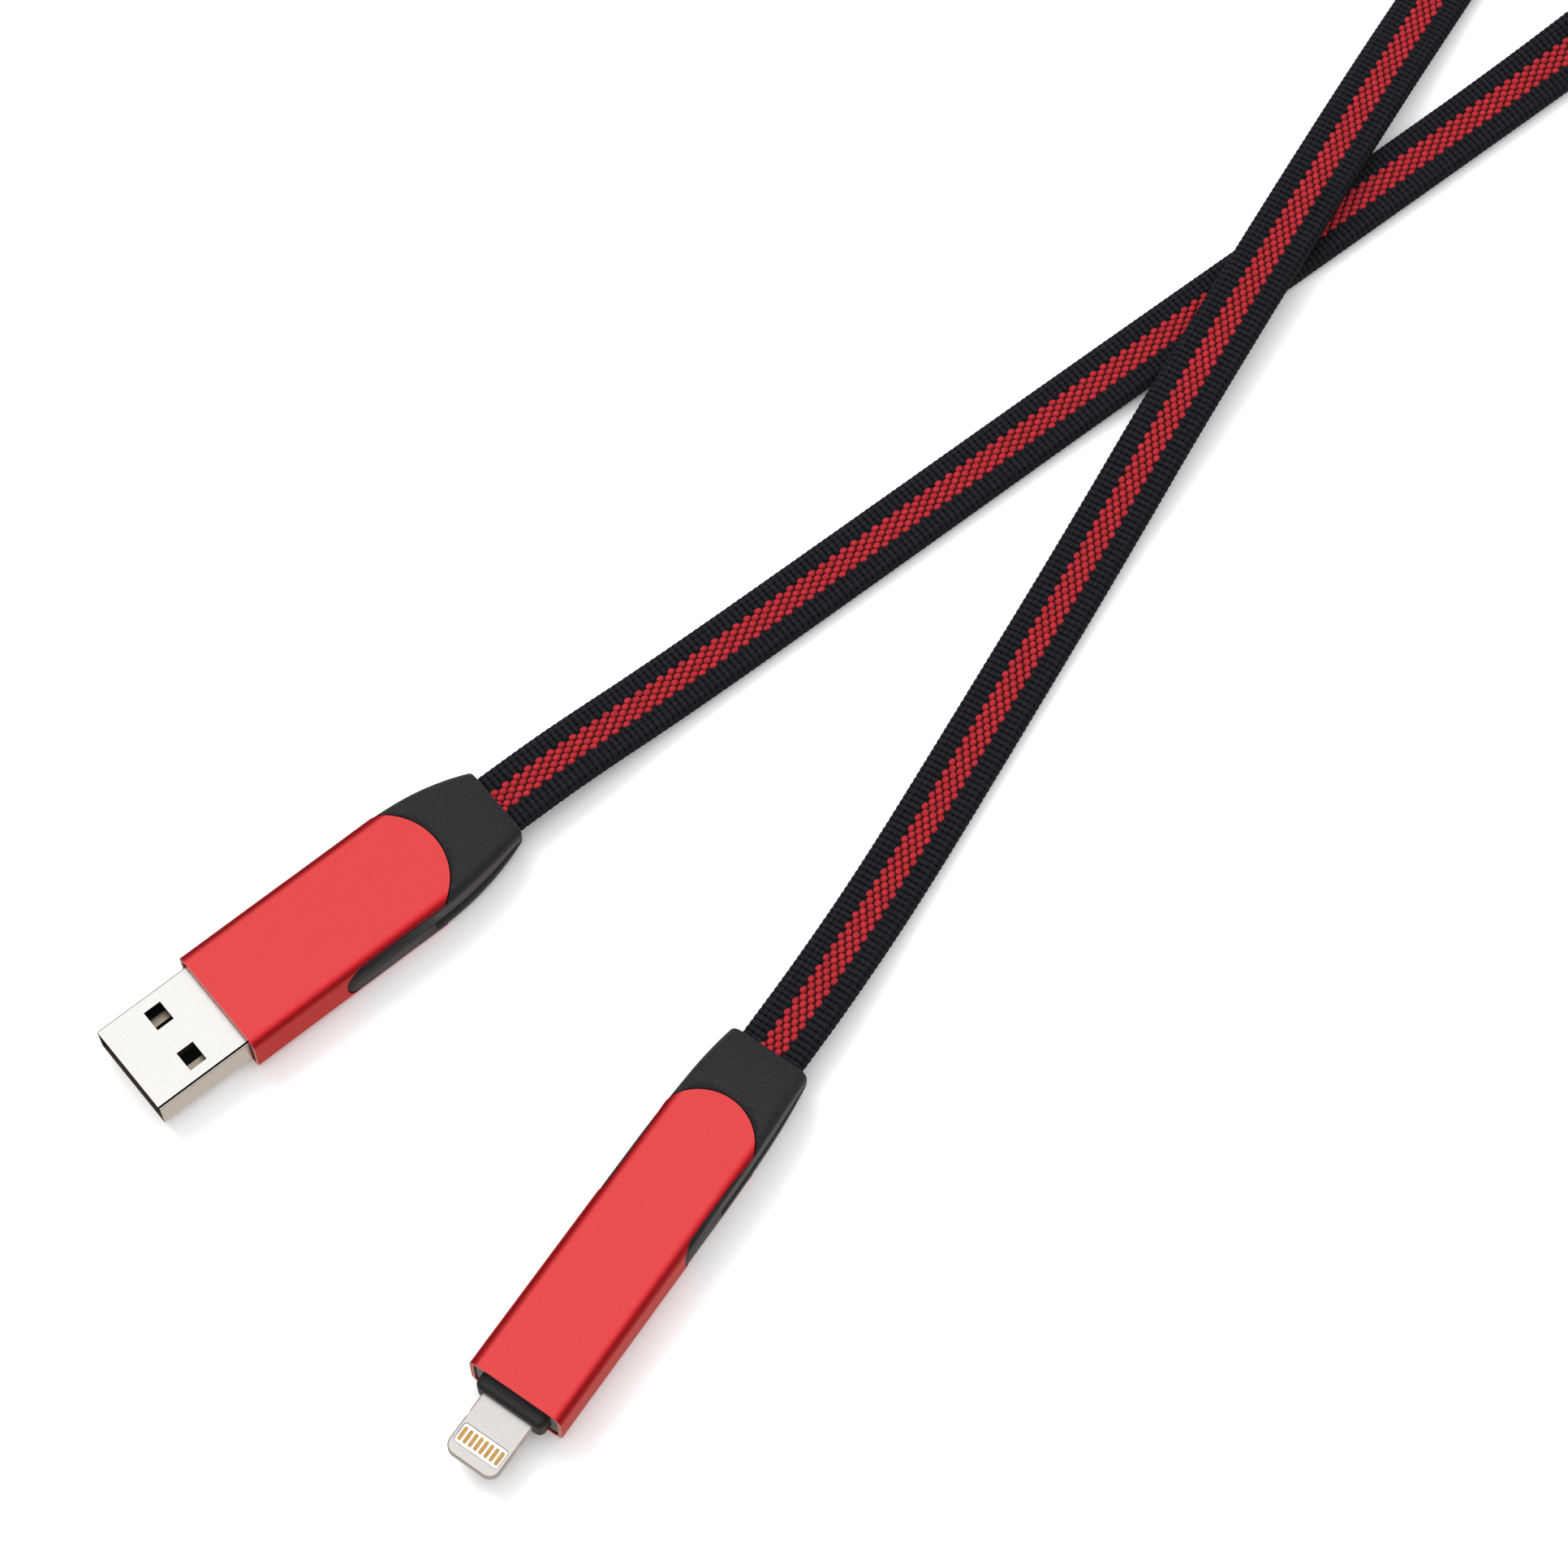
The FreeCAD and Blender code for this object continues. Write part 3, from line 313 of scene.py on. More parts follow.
class CableColours(bpy.types.PropertyGroup):
    """Colours of the visible finishes"""

    anodised: bpy.props.FloatVectorProperty(
        name="Anodised sleeve",
        description="Colour of both sleeves",
        default=(0.83, 0.092, 0.091),
        subtype="COLOR",
        size=3,
    )
    # Painted shade: the darker reflection on the sleeves' rounded edges, painted into their colour
    anodised_edge_shade: bpy.props.FloatVectorProperty(
        name="Sleeve edges",
        description="Deeper red of the sleeves' rounded edges",
        default=(0.80, 0.025, 0.038),
        subtype="COLOR",
        size=3,
    )
    boot: bpy.props.FloatVectorProperty(
        name="Boot",
        description="Colour of the moulded boots",
        default=(0.0122, 0.0116, 0.0133),
        subtype="COLOR",
        size=3,
    )
    ribbon: bpy.props.FloatVectorProperty(
        name="Ribbon",
        description="Colour of the ribbon's border threads",
        default=(0.0080, 0.0080, 0.0112),
        subtype="COLOR",
        size=3,
    )
    stripe: bpy.props.FloatVectorProperty(
        name="Stripe",
        description="Colour of the ribbon's stripe",
        default=(0.355, 0.0185, 0.0265),
        subtype="COLOR",
        size=3,
    )
    plate: bpy.props.FloatVectorProperty(
        name="Plated steel",
        description="Colour of the wide plug's shell",
        default=(0.965, 0.945, 0.915),
        subtype="COLOR",
        size=3,
    )
    gilt: bpy.props.FloatVectorProperty(
        name="Gilt contacts",
        description="Colour of the slim plug's pads",
        default=(0.62, 0.37, 0.125),
        subtype="COLOR",
        size=3,
    )


def sizes():
    """The sizes that the sidebar shows."""
    return bpy.context.scene.cable_sizes


def colours():
    """The colours that the sidebar shows."""
    return bpy.context.scene.cable_colours


# Objects and meshes


def add_object(name, data):
    """A new object in the scene."""
    made = bpy.data.objects.new(name, data)
    bpy.context.scene.collection.objects.link(made)
    return made


def mesh_of(shape, name):
    """A mesh made of a bmesh, which is freed."""
    mesh = bpy.data.meshes.new(name)
    shape.to_mesh(mesh)
    shape.free()
    return mesh


# Materials


def set_sockets(node, values):
    """Constants on a node's own sockets."""
    for socket, value in values.items():
        node.inputs[socket].default_value = value


def new_material(name, colour, roughness, metallic=0.0):
    """A named material and its shader."""
    made = bpy.data.materials.new(name)
    made.use_nodes = True
    shader = made.node_tree.nodes["Principled BSDF"]
    set_sockets(shader, {"Base Color": (*colour, 1.0), "Roughness": roughness, "Metallic": metallic})
    return made, shader


def object_point(made):
    """The point of the surface in the object's own metres."""
    return made.node_tree.nodes.new("ShaderNodeTexCoord").outputs["Object"]


def noise(made, point, scale, detail=2.0, roughness=0.5):
    """A noise value at a point, its scale in cells for each metre."""
    texture = made.node_tree.nodes.new("ShaderNodeTexNoise")
    set_sockets(texture, {"Scale": scale, "Detail": detail, "Roughness": roughness})
    made.node_tree.links.new(point, texture.inputs["Vector"])
    return texture.outputs["Fac"]


def spread(made, value, low, high):
    """A noise value spread over a range."""
    span = made.node_tree.nodes.new("ShaderNodeMapRange")
    start, end = VALUE_SPAN
    set_sockets(span, {"From Min": start, "From Max": end, "To Min": low, "To Max": high})
    made.node_tree.links.new(value, span.inputs["Value"])
    return span.outputs["Result"]


def shade(colour, factor):
    """A darker or lighter shade of a colour."""
    return tuple(min(1.0, c * factor) for c in colour)


def mottle(made, shader, base, value, dark, light):
    """A colour that wanders between a darker and a lighter shade of the base."""
    ramp = made.node_tree.nodes.new("ShaderNodeValToRGB")
    for tone, position, factor in zip(ramp.color_ramp.elements, COLOUR_SPAN, (dark, light)):
        tone.position = position
        tone.color = (*shade(base, factor), 1.0)
    made.node_tree.links.new(value, ramp.inputs["Fac"])
    made.node_tree.links.new(ramp.outputs["Color"], shader.inputs["Base Color"])


def vary_roughness(made, shader, value, low, high):
    """A roughness that wanders between two values."""
    made.node_tree.links.new(spread(made, value, low, high), shader.inputs["Roughness"])


def emboss(made, shader, value, depth, strength):
    """Bump from a value, its depth in metres."""
    bump = made.node_tree.nodes.new("ShaderNodeBump")
    set_sockets(bump, {"Distance": depth, "Strength": strength})
    made.node_tree.links.new(value, bump.inputs["Height"])
    made.node_tree.links.new(bump.outputs["Normal"], shader.inputs["Normal"])


def anodised_red():
    """Fine blasted metal with a painted shade: a deeper red where the attribute marks the rounded edges,
    standing in for their darker reflection.
    """
    base = colours().anodised
    made, shader = new_material("anodised_red", base, roughness=0.3, metallic=1.0)
    set_sockets(shader, {"Specular Tint": (1.0, 0.6, 0.6, 1.0)})
    nodes, links = made.node_tree.nodes, made.node_tree.links
    # The painted edge shade: a mask that darkens the red where the surface leans by half
    painted_edge_shade = nodes.new("ShaderNodeAttribute")
    painted_edge_shade.attribute_name = "painted_edge_shade"
    ramp = nodes.new("ShaderNodeValToRGB")
    for tone, colour in zip(ramp.color_ramp.elements, (base, colours().anodised_edge_shade)):
        tone.color = (*colour, 1.0)
    links.new(painted_edge_shade.outputs["Fac"], ramp.inputs["Fac"])
    point = object_point(made)
    grain = noise(made, point, scale=2400.0, detail=4.0, roughness=0.65)
    grained = nodes.new("ShaderNodeVectorMath")
    grained.operation = "SCALE"
    links.new(ramp.outputs["Color"], grained.inputs["Vector"])
    links.new(spread(made, grain, low=0.955, high=1.035), grained.inputs["Scale"])
    links.new(grained.outputs["Vector"], shader.inputs["Base Color"])
    vary_roughness(made, shader, noise(made, point, scale=2600.0), low=0.29, high=0.32)
    emboss(made, shader, noise(made, point, scale=9000.0), depth=0.002 * MM, strength=0.4)
    return made


def cut_edge():
    """The sleeve's front edge, where the machining has thinned the red."""
    made, shader = new_material("cut_edge", CUT_EDGE, roughness=0.34, metallic=1.0)
    point = object_point(made)
    mottle(made, shader, CUT_EDGE, noise(made, point, scale=3000.0), dark=0.95, light=1.05)
    return made


def moulded_black():
    """The boots' finely grained black, with a soft bloom."""
    base = colours().boot
    made, shader = new_material("moulded_black", base, roughness=0.5)
    set_sockets(shader, {"Specular IOR Level": 0.28, "Specular Tint": (0.97, 0.94, 1.0, 1.0)})
    set_sockets(shader, {"Sheen Weight": 0.08, "Sheen Roughness": 0.45})
    point = object_point(made)
    speckle = noise(made, point, scale=3600.0, detail=4.0, roughness=0.65)
    mottle(made, shader, base, speckle, dark=0.55, light=1.45)
    vary_roughness(made, shader, noise(made, point, scale=1500.0), low=0.5, high=0.62)
    grain = noise(made, point, scale=7000.0, detail=3.0, roughness=0.6)
    emboss(made, shader, grain, depth=0.02 * MM, strength=0.6)
    return made


def nickel_plate():
    """The shell's bright plating."""
    base = colours().plate
    made, shader = new_material("nickel_plate", base, roughness=0.3, metallic=1.0)
    point = object_point(made)
    vary_roughness(made, shader, noise(made, point, scale=3500.0), low=0.27, high=0.33)
    mottle(made, shader, base, noise(made, point, scale=2400.0, detail=3.0), dark=0.97, light=1.03)
    emboss(made, shader, noise(made, point, scale=8000.0), depth=0.003 * MM, strength=0.4)
    return made


def satin_steel():
    """The tab's steel, and that of the crimps."""
    made, shader = new_material("satin_steel", SATIN_STEEL, roughness=0.38, metallic=1.0)
    point = object_point(made)
    cloud = noise(made, point, scale=1800.0, detail=3.0)
    mottle(made, shader, SATIN_STEEL, cloud, dark=0.97, light=1.03)
    emboss(made, shader, noise(made, point, scale=9000.0), depth=0.005 * MM, strength=0.5)
    return made


def inner_painted_shade():
    """The shell's folded faces, its bore, its rim and the walls of its windows and seam, in a dark steel
    that is painted shade.
    """
    made, shader = new_material("inner_painted_shade", INNER_PAINTED_SHADE, roughness=0.6, metallic=0.6)
    point = object_point(made)
    mottle(made, shader, INNER_PAINTED_SHADE, noise(made, point, scale=2400.0), dark=0.9, light=1.1)
    return made


def contact_nickel():
    """The strips in the wide plug's mouth."""
    made, shader = new_material("contact_nickel", CONTACT_NICKEL, roughness=0.35, metallic=1.0)
    point = object_point(made)
    mottle(made, shader, CONTACT_NICKEL, noise(made, point, scale=1600.0), dark=0.92, light=1.06)
    return made


def gilt():
    """The slim plug's pads."""
    base = colours().gilt
    made, shader = new_material("gilt", base, roughness=0.28, metallic=1.0)
    point = object_point(made)
    mottle(made, shader, base, noise(made, point, scale=1600.0), dark=0.92, light=1.06)
    emboss(made, shader, noise(made, point, scale=9000.0), depth=0.004 * MM, strength=0.4)
    return made


def plastic(name, base, roughness, grain=0.01 * MM, gloss=0.5):
    """A moulded plastic with a grain of the given depth."""
    made, shader = new_material(name, base, roughness)
    set_sockets(shader, {"Specular IOR Level": gloss})
    point = object_point(made)
    mottle(made, shader, base, noise(made, point, scale=1800.0), dark=0.94, light=1.06)
    emboss(made, shader, noise(made, point, scale=6500.0), depth=grain, strength=0.5)
    return made


def thread(name, base):
    """Twisted yarn, matt and a little uneven."""
    made, shader = new_material(name, base, roughness=0.72)
    set_sockets(shader, {"Specular IOR Level": 0.2})
    point = object_point(made)
    mottle(made, shader, base, noise(made, point, scale=1300.0), dark=0.82, light=1.18)
    emboss(made, shader, noise(made, point, scale=9000.0), depth=0.012 * MM, strength=0.6)
    return made


def strap_cloth():
    """The straps' short black loops."""
    made, shader = new_material("strap_cloth", STRAP_CLOTH, roughness=0.9)
    set_sockets(shader, {"Specular IOR Level": 0.2, "Sheen Weight": 0.06})
    point = object_point(made)
    mottle(made, shader, STRAP_CLOTH, noise(made, point, scale=1500.0, detail=4.0), dark=0.6, light=1.9)
    loops = noise(made, point, scale=2600.0, detail=4.0, roughness=0.7)
    emboss(made, shader, loops, depth=0.12 * MM, strength=1.0)
    return made


# Pieces taken from the solids


def merged_copy(node):
    """A copy of a solid's mesh with its corners joined and its flat faces whole."""
    shape = bmesh.new()
    shape.from_mesh(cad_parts[node].data)
    bmesh.ops.remove_doubles(shape, verts=shape.verts, dist=JOIN_WITHIN)
    bmesh.ops.dissolve_limit(shape, angle_limit=FLAT_WITHIN, verts=shape.verts, edges=shape.edges)
    return shape


def hard_edges(shape):
    """The edges that the edge break rounds."""
    return [e for e in shape.edges if len(e.link_faces) == 2 and e.calc_face_angle(0.0) > BREAK_FROM]


def round_off(shape, edges, radius, segments):
    """Round some edges of a bmesh."""
    bmesh.ops.bevel(
        shape,
        geom=edges,
        offset=radius,
        offset_type="OFFSET",
        segments=segments,
        profile=0.5,
        affect="EDGES",
        clamp_overlap=True,
        material=-1,
    )


def finish_piece(shape, name, material):
    """Make an object of a bmesh, smooth but for its real edges."""
    mesh = mesh_of(shape, name)
    mesh.shade_smooth()
    mesh.set_sharp_from_angle(angle=SHARP_FROM)
    mesh.materials.append(material)
    piece = add_object(name, mesh)
    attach(piece, "root")
    return piece


def even_faces(piece):
    """Let the large faces settle the shading."""
    weighted = piece.modifiers.new("even_faces", "WEIGHTED_NORMAL")
    weighted.keep_sharp = True


def dress(node, material, edge=0.0, even=True, shape=None):
    """Replace a solid by its joined copy, its hard edges slightly broken."""
    if shape is None:
        shape = merged_copy(node)
    if edge:
        round_off(shape, hard_edges(shape), edge, BREAK_SEGMENTS)
    piece = finish_piece(shape, node + "_finish", material)
    if even:
        even_faces(piece)
    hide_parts(node)
    return piece


def paint(node, material):
    """Give a solid that keeps its own mesh its material."""
    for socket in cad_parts[node].material_slots:
        socket.material = material


# The cord's line


def smooth_step(share):
    """A share from 0 to 1 that starts and ends gently."""
    return share * share * (3 - 2 * share)


def coil_points():
    """Turns of the stored coil, wound inwards on edge and eased flat at their end."""
    points = []
    step = (COIL_LAST - COIL_FIRST) / COIL_STEPS
    # The spline runs inside its points, so their radius is larger by this factor
    spare = 1 / math.cos(math.radians(step / 2))
    for i in range(COIL_STEPS):
        angle = COIL_FIRST + step * (i + 0.5)
        radius = COIL_RADIUS - COIL_PITCH * (min(angle, COIL_EASE) - COIL_FIRST) / 360
        height = COIL_HEIGHT
        turn = ON_EDGE
        if angle > COIL_EASE:
            ease = smooth_step((angle - COIL_EASE) / (COIL_LAST - COIL_EASE))
            radius += (COIL_END_RADIUS - radius) * ease
            height += (COIL_END_HEIGHT - COIL_HEIGHT) * ease
            turn *= 1 - ease
        x = COIL_CENTRE[0] + spare * radius * math.cos(math.radians(angle))
        y = COIL_CENTRE[1] + spare * radius * math.sin(math.radians(angle))
        points.append((x, y, height, turn))
    return points


def route_curve():
    """The cord's line as one smooth spline."""
    points = FROM_WIDE_PLUG + coil_points() + TO_SLIM_PLUG
    curve = bpy.data.curves.new("cord_line", "CURVE")
    curve.dimensions = "3D"
    curve.twist_mode = "Z_UP"
    curve.resolution_u = LINE_STEPS
    spline = curve.splines.new("NURBS")
    spline.points.add(len(points) - 1)
    for point, (x, y, z, turn) in zip(spline.points, points):
        point.co = (x * MM, y * MM, z * MM, 1.0)
        point.tilt = math.radians(turn)
    spline.order_u = 3
    spline.use_endpoint_u = True
    return add_object("cord_line", curve)


def read_line(line):
    """The points that the spline passes, and its length."""
    mesh = bpy.data.meshes.new_from_object(line)
    path = [v.co.copy() for v in mesh.vertices]
    bpy.data.meshes.remove(mesh)
    length = sum((b - a).length for a, b in zip(path, path[1:]))
    return path, length


# The ribbon's weave


def section_point(share, width, thickness):
    """A point of the ribbon's outline and its outward direction, by its share of the way round.

    The way starts in the middle of the upper face and goes over the left edge.
    """
    half_flat = (width - thickness) / 2
    radius = thickness / 2
    arc = math.pi * radius
    around = 4 * half_flat + 2 * arc
    way = (share % 1.0) * around
    if way < half_flat:
        return Vector((0, way, radius)), Vector((0, 0, 1))
    way -= half_flat
    if way < arc:
        angle = math.pi / 2 - way / radius
        out = Vector((0, math.cos(angle), math.sin(angle)))
        return Vector((0, half_flat, 0)) + out * radius, out
    way -= arc
    if way < 2 * half_flat:
        return Vector((0, half_flat - way, -radius)), Vector((0, 0, -1))
    way -= 2 * half_flat
    if way < arc:
        angle = -math.pi / 2 - way / radius
        out = Vector((0, math.cos(angle), math.sin(angle)))
        return Vector((0, -half_flat, 0)) + out * radius, out
    way -= arc
    return Vector((0, way - half_flat, radius)), Vector((0, 0, 1))


def ground_point(share):
    """A point of the ribbon's ground, which lies under the knots, and its outward direction."""
    s = sizes()
    sink = s.weave_rise
    return section_point(share, s.ribbon_width - 2 * sink, s.ribbon_thickness - 2 * sink)


def ground_unit(pitch):
    """One repeat of the ribbon's ground, the surface that the knots lie on."""
    rows = sizes().thread_rows
    shape = bmesh.new()
    corners = []
    for row in range(rows):
        point, _ = ground_point((row + 0.5) / rows)
        corners.append(shape.verts.new(point))
    edges = [shape.edges.new((a, b)) for a, b in zip(corners, corners[1:] + corners[:1])]
    made = bmesh.ops.extrude_edge_only(shape, edges=edges)
    moved = [v for v in made["geom"] if isinstance(v, bmesh.types.BMVert)]
    bmesh.ops.translate(shape, verts=moved, vec=(pitch, 0, 0))
    bmesh.ops.recalc_face_normals(shape, faces=shape.faces)
    return shape


def add_knot(shape, way, along, length, width, sides, calm=0.0):
    """One knot of the weave, a low mound half sunk in the ground.

    A calm one is lower and longer, with its top as high.
    """
    rise = sizes().weave_rise * (1 - calm)
    point, out = ground_point(way)
    side = out.cross(Vector((1, 0, 0)))
    turn = Matrix((Vector((1, 0, 0)), side, out)).transposed().to_4x4()
    scale = Matrix.Diagonal((length * (1 + calm / 2) / 2, width / 2, rise, 1.0))
    middle = point + out * (sizes().weave_rise - rise) + Vector((along, 0, 0))
    place = Matrix.Translation(middle) @ turn @ scale
    bmesh.ops.create_uvsphere(shape, u_segments=sides, v_segments=KNOT_RINGS, radius=1.0, matrix=place)


def stripe_unit(pitch, first_row):
    """One repeat of a red stripe: every other row is half a repeat along, and each row lags a little."""
    s = sizes()
    shape = bmesh.new()
    for row in range(s.stripe_rows):
        way = (first_row + row + 0.5) / s.thread_rows
        lag = s.stripe_lean * (row - s.stripe_rows / 2)
        along = pitch * (KNOT_PLACES[1 - row % 2] - lag)
        add_knot(shape, way, along, s.knot_length, s.knot_width, RED_KNOT_SIDES)
    return shape


def border_unit(pitch, first, last):
    """One repeat of a black border: two ribs of knots across it, from the first knot to the last."""
    s = sizes()
    shape = bmesh.new()
    half_stripe = s.stripe_rows / 2 / s.thread_rows
    border = 0.5 - 2 * half_stripe
    for knot in range(first, last):
        side = 0.5 if knot >= s.border_knots else 0.0
        across = (knot % s.border_knots + 0.5) / s.border_knots
        calm = s.edge_calm * (1 - abs(2 * across - 1))
        for place in KNOT_PLACES:
            way = half_stripe + side + border * across
            add_knot(shape, way, place * pitch, s.rib_length, s.rib_knot_width, RIB_KNOT_SIDES, calm)
    return shape


def run_along(shape, name, material, line, count, pitch, joined=False):
    """Repeat a unit along the cord's line and keep the result as a plain mesh."""
    unit = add_object(name + "_unit", mesh_of(shape, name + "_unit"))
    repeat = unit.modifiers.new("repeat", "ARRAY")
    repeat.count = count
    repeat.use_relative_offset = False
    repeat.use_constant_offset = True
    repeat.constant_offset_displace = (pitch, 0, 0)
    repeat.use_merge_vertices = joined
    repeat.merge_threshold = REPEAT_JOIN
    follow = unit.modifiers.new("follow", "CURVE")
    follow.object = line
    follow.deform_axis = "POS_X"
    graph = bpy.context.evaluated_depsgraph_get()
    whole = bpy.data.meshes.new_from_object(unit.evaluated_get(graph))
    bpy.data.objects.remove(unit)
    whole.name = name
    whole.materials.clear()
    whole.materials.append(material)
    whole.shade_smooth()
    piece = add_object(name, whole)
    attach(piece, "root")
    return piece


def close_ends(piece):
    """Cap the ribbon's two open ends."""
    shape = bmesh.new()
    shape.from_mesh(piece.data)
    bmesh.ops.holes_fill(shape, edges=[e for e in shape.edges if e.is_boundary], sides=0)
    bmesh.ops.recalc_face_normals(shape, faces=shape.faces)
    shape.to_mesh(piece.data)
    shape.free()


class CABLE_OT_lay_cord(bpy.types.Operator):
    """Lay the woven ribbon from the wide plug, around the coil, to the slim plug"""

    bl_idname = "cable.lay_cord"
    bl_label = "Lay the cord"

    def execute(self, context):
        s = sizes()
        line = route_curve()
        path, length = read_line(line)
        count = round(length / s.weave_pitch)
        pitch = length / count
        # The ground's darker colour is painted shade under and between the knots
        ground = thread("ribbon_ground_painted_shade", shade(colours().ribbon, GROUND_PAINTED_SHADE))
        border = thread("border_thread", colours().ribbon)
        stripe = thread("stripe_thread", colours().stripe)
        cord = run_along(ground_unit(pitch), "cord", ground, line, count, pitch, joined=True)
        close_ends(cord)
        half_rows = s.thread_rows // 2
        half_stripe = s.stripe_rows // 2
        knots = s.border_knots
        half_knots = knots // 2
        units = {
            "cord_stripe_upper": (stripe_unit(pitch, -half_stripe), stripe),
            "cord_stripe_lower": (stripe_unit(pitch, half_rows - half_stripe), stripe),
            "cord_border_left_upper": (border_unit(pitch, 0, half_knots), border),
            "cord_border_left_lower": (border_unit(pitch, half_knots, knots), border),
            "cord_border_right_lower": (border_unit(pitch, knots, knots + half_knots), border),
            "cord_border_right_upper": (border_unit(pitch, knots + half_knots, 2 * knots), border),
        }
        for name, (unit, material) in units.items():
            run_along(unit, name, material, line, count, pitch)
        bpy.data.objects.remove(line)
        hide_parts("cord_wide_side", "cord_slim_side", "cord_coil")
        return {"FINISHED"}


# The plugs


def mark_cut_edge(piece, ahead):
    """Give the sleeve's front edge its own material, the piece's second."""
    front = max(v.co.dot(ahead) for v in piece.data.vertices)
    for face in piece.data.polygons:
        depth = front - face.center.dot(ahead)
        if face.normal.dot(ahead) > FACING_AHEAD and depth < sizes().edge_break:
            face.material_index = 1


def mark_painted_edge_shade(piece):
    """An attribute that is 1 where the surface leans by half, and 0 where it is level or upright: the mask
    of the sleeves' painted edge shade.
    """
    painted_edge_shade = piece.data.attributes.new("painted_edge_shade", "FLOAT", "POINT")
    for corner, value in zip(piece.data.vertices, painted_edge_shade.data):
        rise = corner.normal.z ** 2
        value.value = 4 * rise * (1 - rise)


class CABLE_OT_finish_sleeves(bpy.types.Operator):
    """Finish both anodised sleeves"""

    bl_idname = "cable.finish_sleeves"
    bl_label = "Finish the sleeves"

    def execute(self, context):
        red = anodised_red()
        edge = cut_edge()
        for plug, ahead in POINTING.items():
            piece = dress(plug + "_sleeve", red, edge=sizes().edge_break)
            piece.data.materials.append(edge)
            mark_cut_edge(piece, Vector(ahead))
            # Mark where the painted edge shade darkens the sleeve
            mark_painted_edge_shade(piece)
        return {"FINISHED"}


class CABLE_OT_finish_boots(bpy.types.Operator):
    """Finish the four boot halves"""

    bl_idname = "cable.finish_boots"
    bl_label = "Finish the boots"

    def execute(self, context):
        black = moulded_black()
        for plug in PLUGS:
            for half in HALVES:
                dress(plug + "_boot_" + half, black, even=False)
        return {"FINISHED"}


def mark_painted_shade_inside(piece):
    """Give all but the shell's plated outer skin its own material, the piece's second, a dark painted
    shade.
    """
    places = [v.co for v in piece.data.vertices]
    side = max(place.x for place in places)
    high = max(place.z for place in places)
    low = min(place.z for place in places)
    for face in piece.data.polygons:
        inset = min(side - abs(face.center.x), high - face.center.z, face.center.z - low)
        if inset > sizes().sheet_skin:
            face.material_index = 1


class CABLE_OT_finish_shell(bpy.types.Operator):
    """Finish the wide plug's metal shell and what shows in its mouth"""

    bl_idname = "cable.finish_shell"
    bl_label = "Finish the wide plug's shell"

    def execute(self, context):
        piece = dress("wide_plug_shell", nickel_plate())
        # The shell's inner faces get the painted shade
        piece.data.materials.append(inner_painted_shade())
        mark_painted_shade_inside(piece)
        black = plastic("tongue_black", TONGUE_BLACK, roughness=0.9, gloss=0.0)
        for tag in ("insulator", "retainer"):
            paint("wide_plug_" + tag, black)
        nickel = contact_nickel()
        for tag in ("power", "data_minus", "data_plus", "ground"):
            paint("wide_plug_contact_" + tag, nickel)
        return {"FINISHED"}


class CABLE_OT_finish_tab(bpy.types.Operator):
    """Finish the slim plug's tab, its window, its pads and its collar"""

    bl_idname = "cable.finish_tab"
    bl_label = "Finish the slim plug's tab"

    def execute(self, context):
        dress("slim_plug_tab", satin_steel())
        white = plastic("window_white", WINDOW_WHITE, roughness=0.42)
        dress("slim_plug_insulator", white)
        gold = gilt()
        for half in HALVES:
            dress("slim_plug_pads_" + half, gold)
        black = plastic("collar_black", COLLAR_BLACK, roughness=0.5)
        dress("slim_plug_collar", black)
        return {"FINISHED"}


class CABLE_OT_finish_inside(bpy.types.Operator):
    """Finish the inner mouldings, boards, wires and crimps"""

    bl_idname = "cable.finish_inside"
    bl_label = "Finish the inner parts"

    def execute(self, context):
        grey = plastic("core_grey", CORE_GREY, roughness=0.6, grain=0.02 * MM)
        board = plastic("board_green", BOARD_GREEN, roughness=0.35)
        crimp = satin_steel()
        covers = {name: plastic("wire_" + name, colour, roughness=0.45) for name, colour in WIRES.items()}
        for plug in PLUGS:
            for half in HALVES:
                paint(plug + "_core_" + half, grey)
            paint(plug + "_circuit_board", board)
            paint(plug + "_crimp", crimp)
            for name, cover in covers.items():
                paint(plug + "_wire_" + name, cover)
        paint("slim_plug_control_chip", plastic("chip_black", CHIP_BLACK, roughness=0.5))
        return {"FINISHED"}


# The straps


def lie_together(values, limits):
    """Whether all values lie at the same one of some limits."""
    return any(all(abs(value - limit) < STRAP_NEAR for value in values) for limit in limits)


def strap_corners(shape):
    """A strap's four outer corners, which run along the coil's turns."""
    centre = Vector((COIL_CENTRE[0] * MM, COIL_CENTRE[1] * MM, 0.0))
    middle = sum((v.co for v in shape.verts), Vector()) / len(shape.verts) - centre
    outward = Vector((middle.x, middle.y, 0.0)).normalized()
    reach = [(v.co - centre).dot(outward) for v in shape.verts]
    height = [v.co.z for v in shape.verts]
    corners = []
    for edge in shape.edges:
        beside = lie_together([(v.co - centre).dot(outward) for v in edge.verts], (min(reach), max(reach)))
        level = lie_together([v.co.z for v in edge.verts], (min(height), max(height)))
        if beside and level:
            corners.append(edge)
    return corners


class CABLE_OT_finish_ties(bpy.types.Operator):
    """Finish the two straps around the coil"""

    bl_idname = "cable.finish_ties"
    bl_label = "Finish the straps"

    def execute(self, context):
        cloth = strap_cloth()
        for tag in ("right", "far"):
            node = "coil_tie_" + tag
            shape = merged_copy(node)
            round_off(shape, strap_corners(shape), sizes().strap_corner, STRAP_SEGMENTS)
            dress(node, cloth, edge=sizes().strap_edge, shape=shape)
        return {"FINISHED"}


# The stage


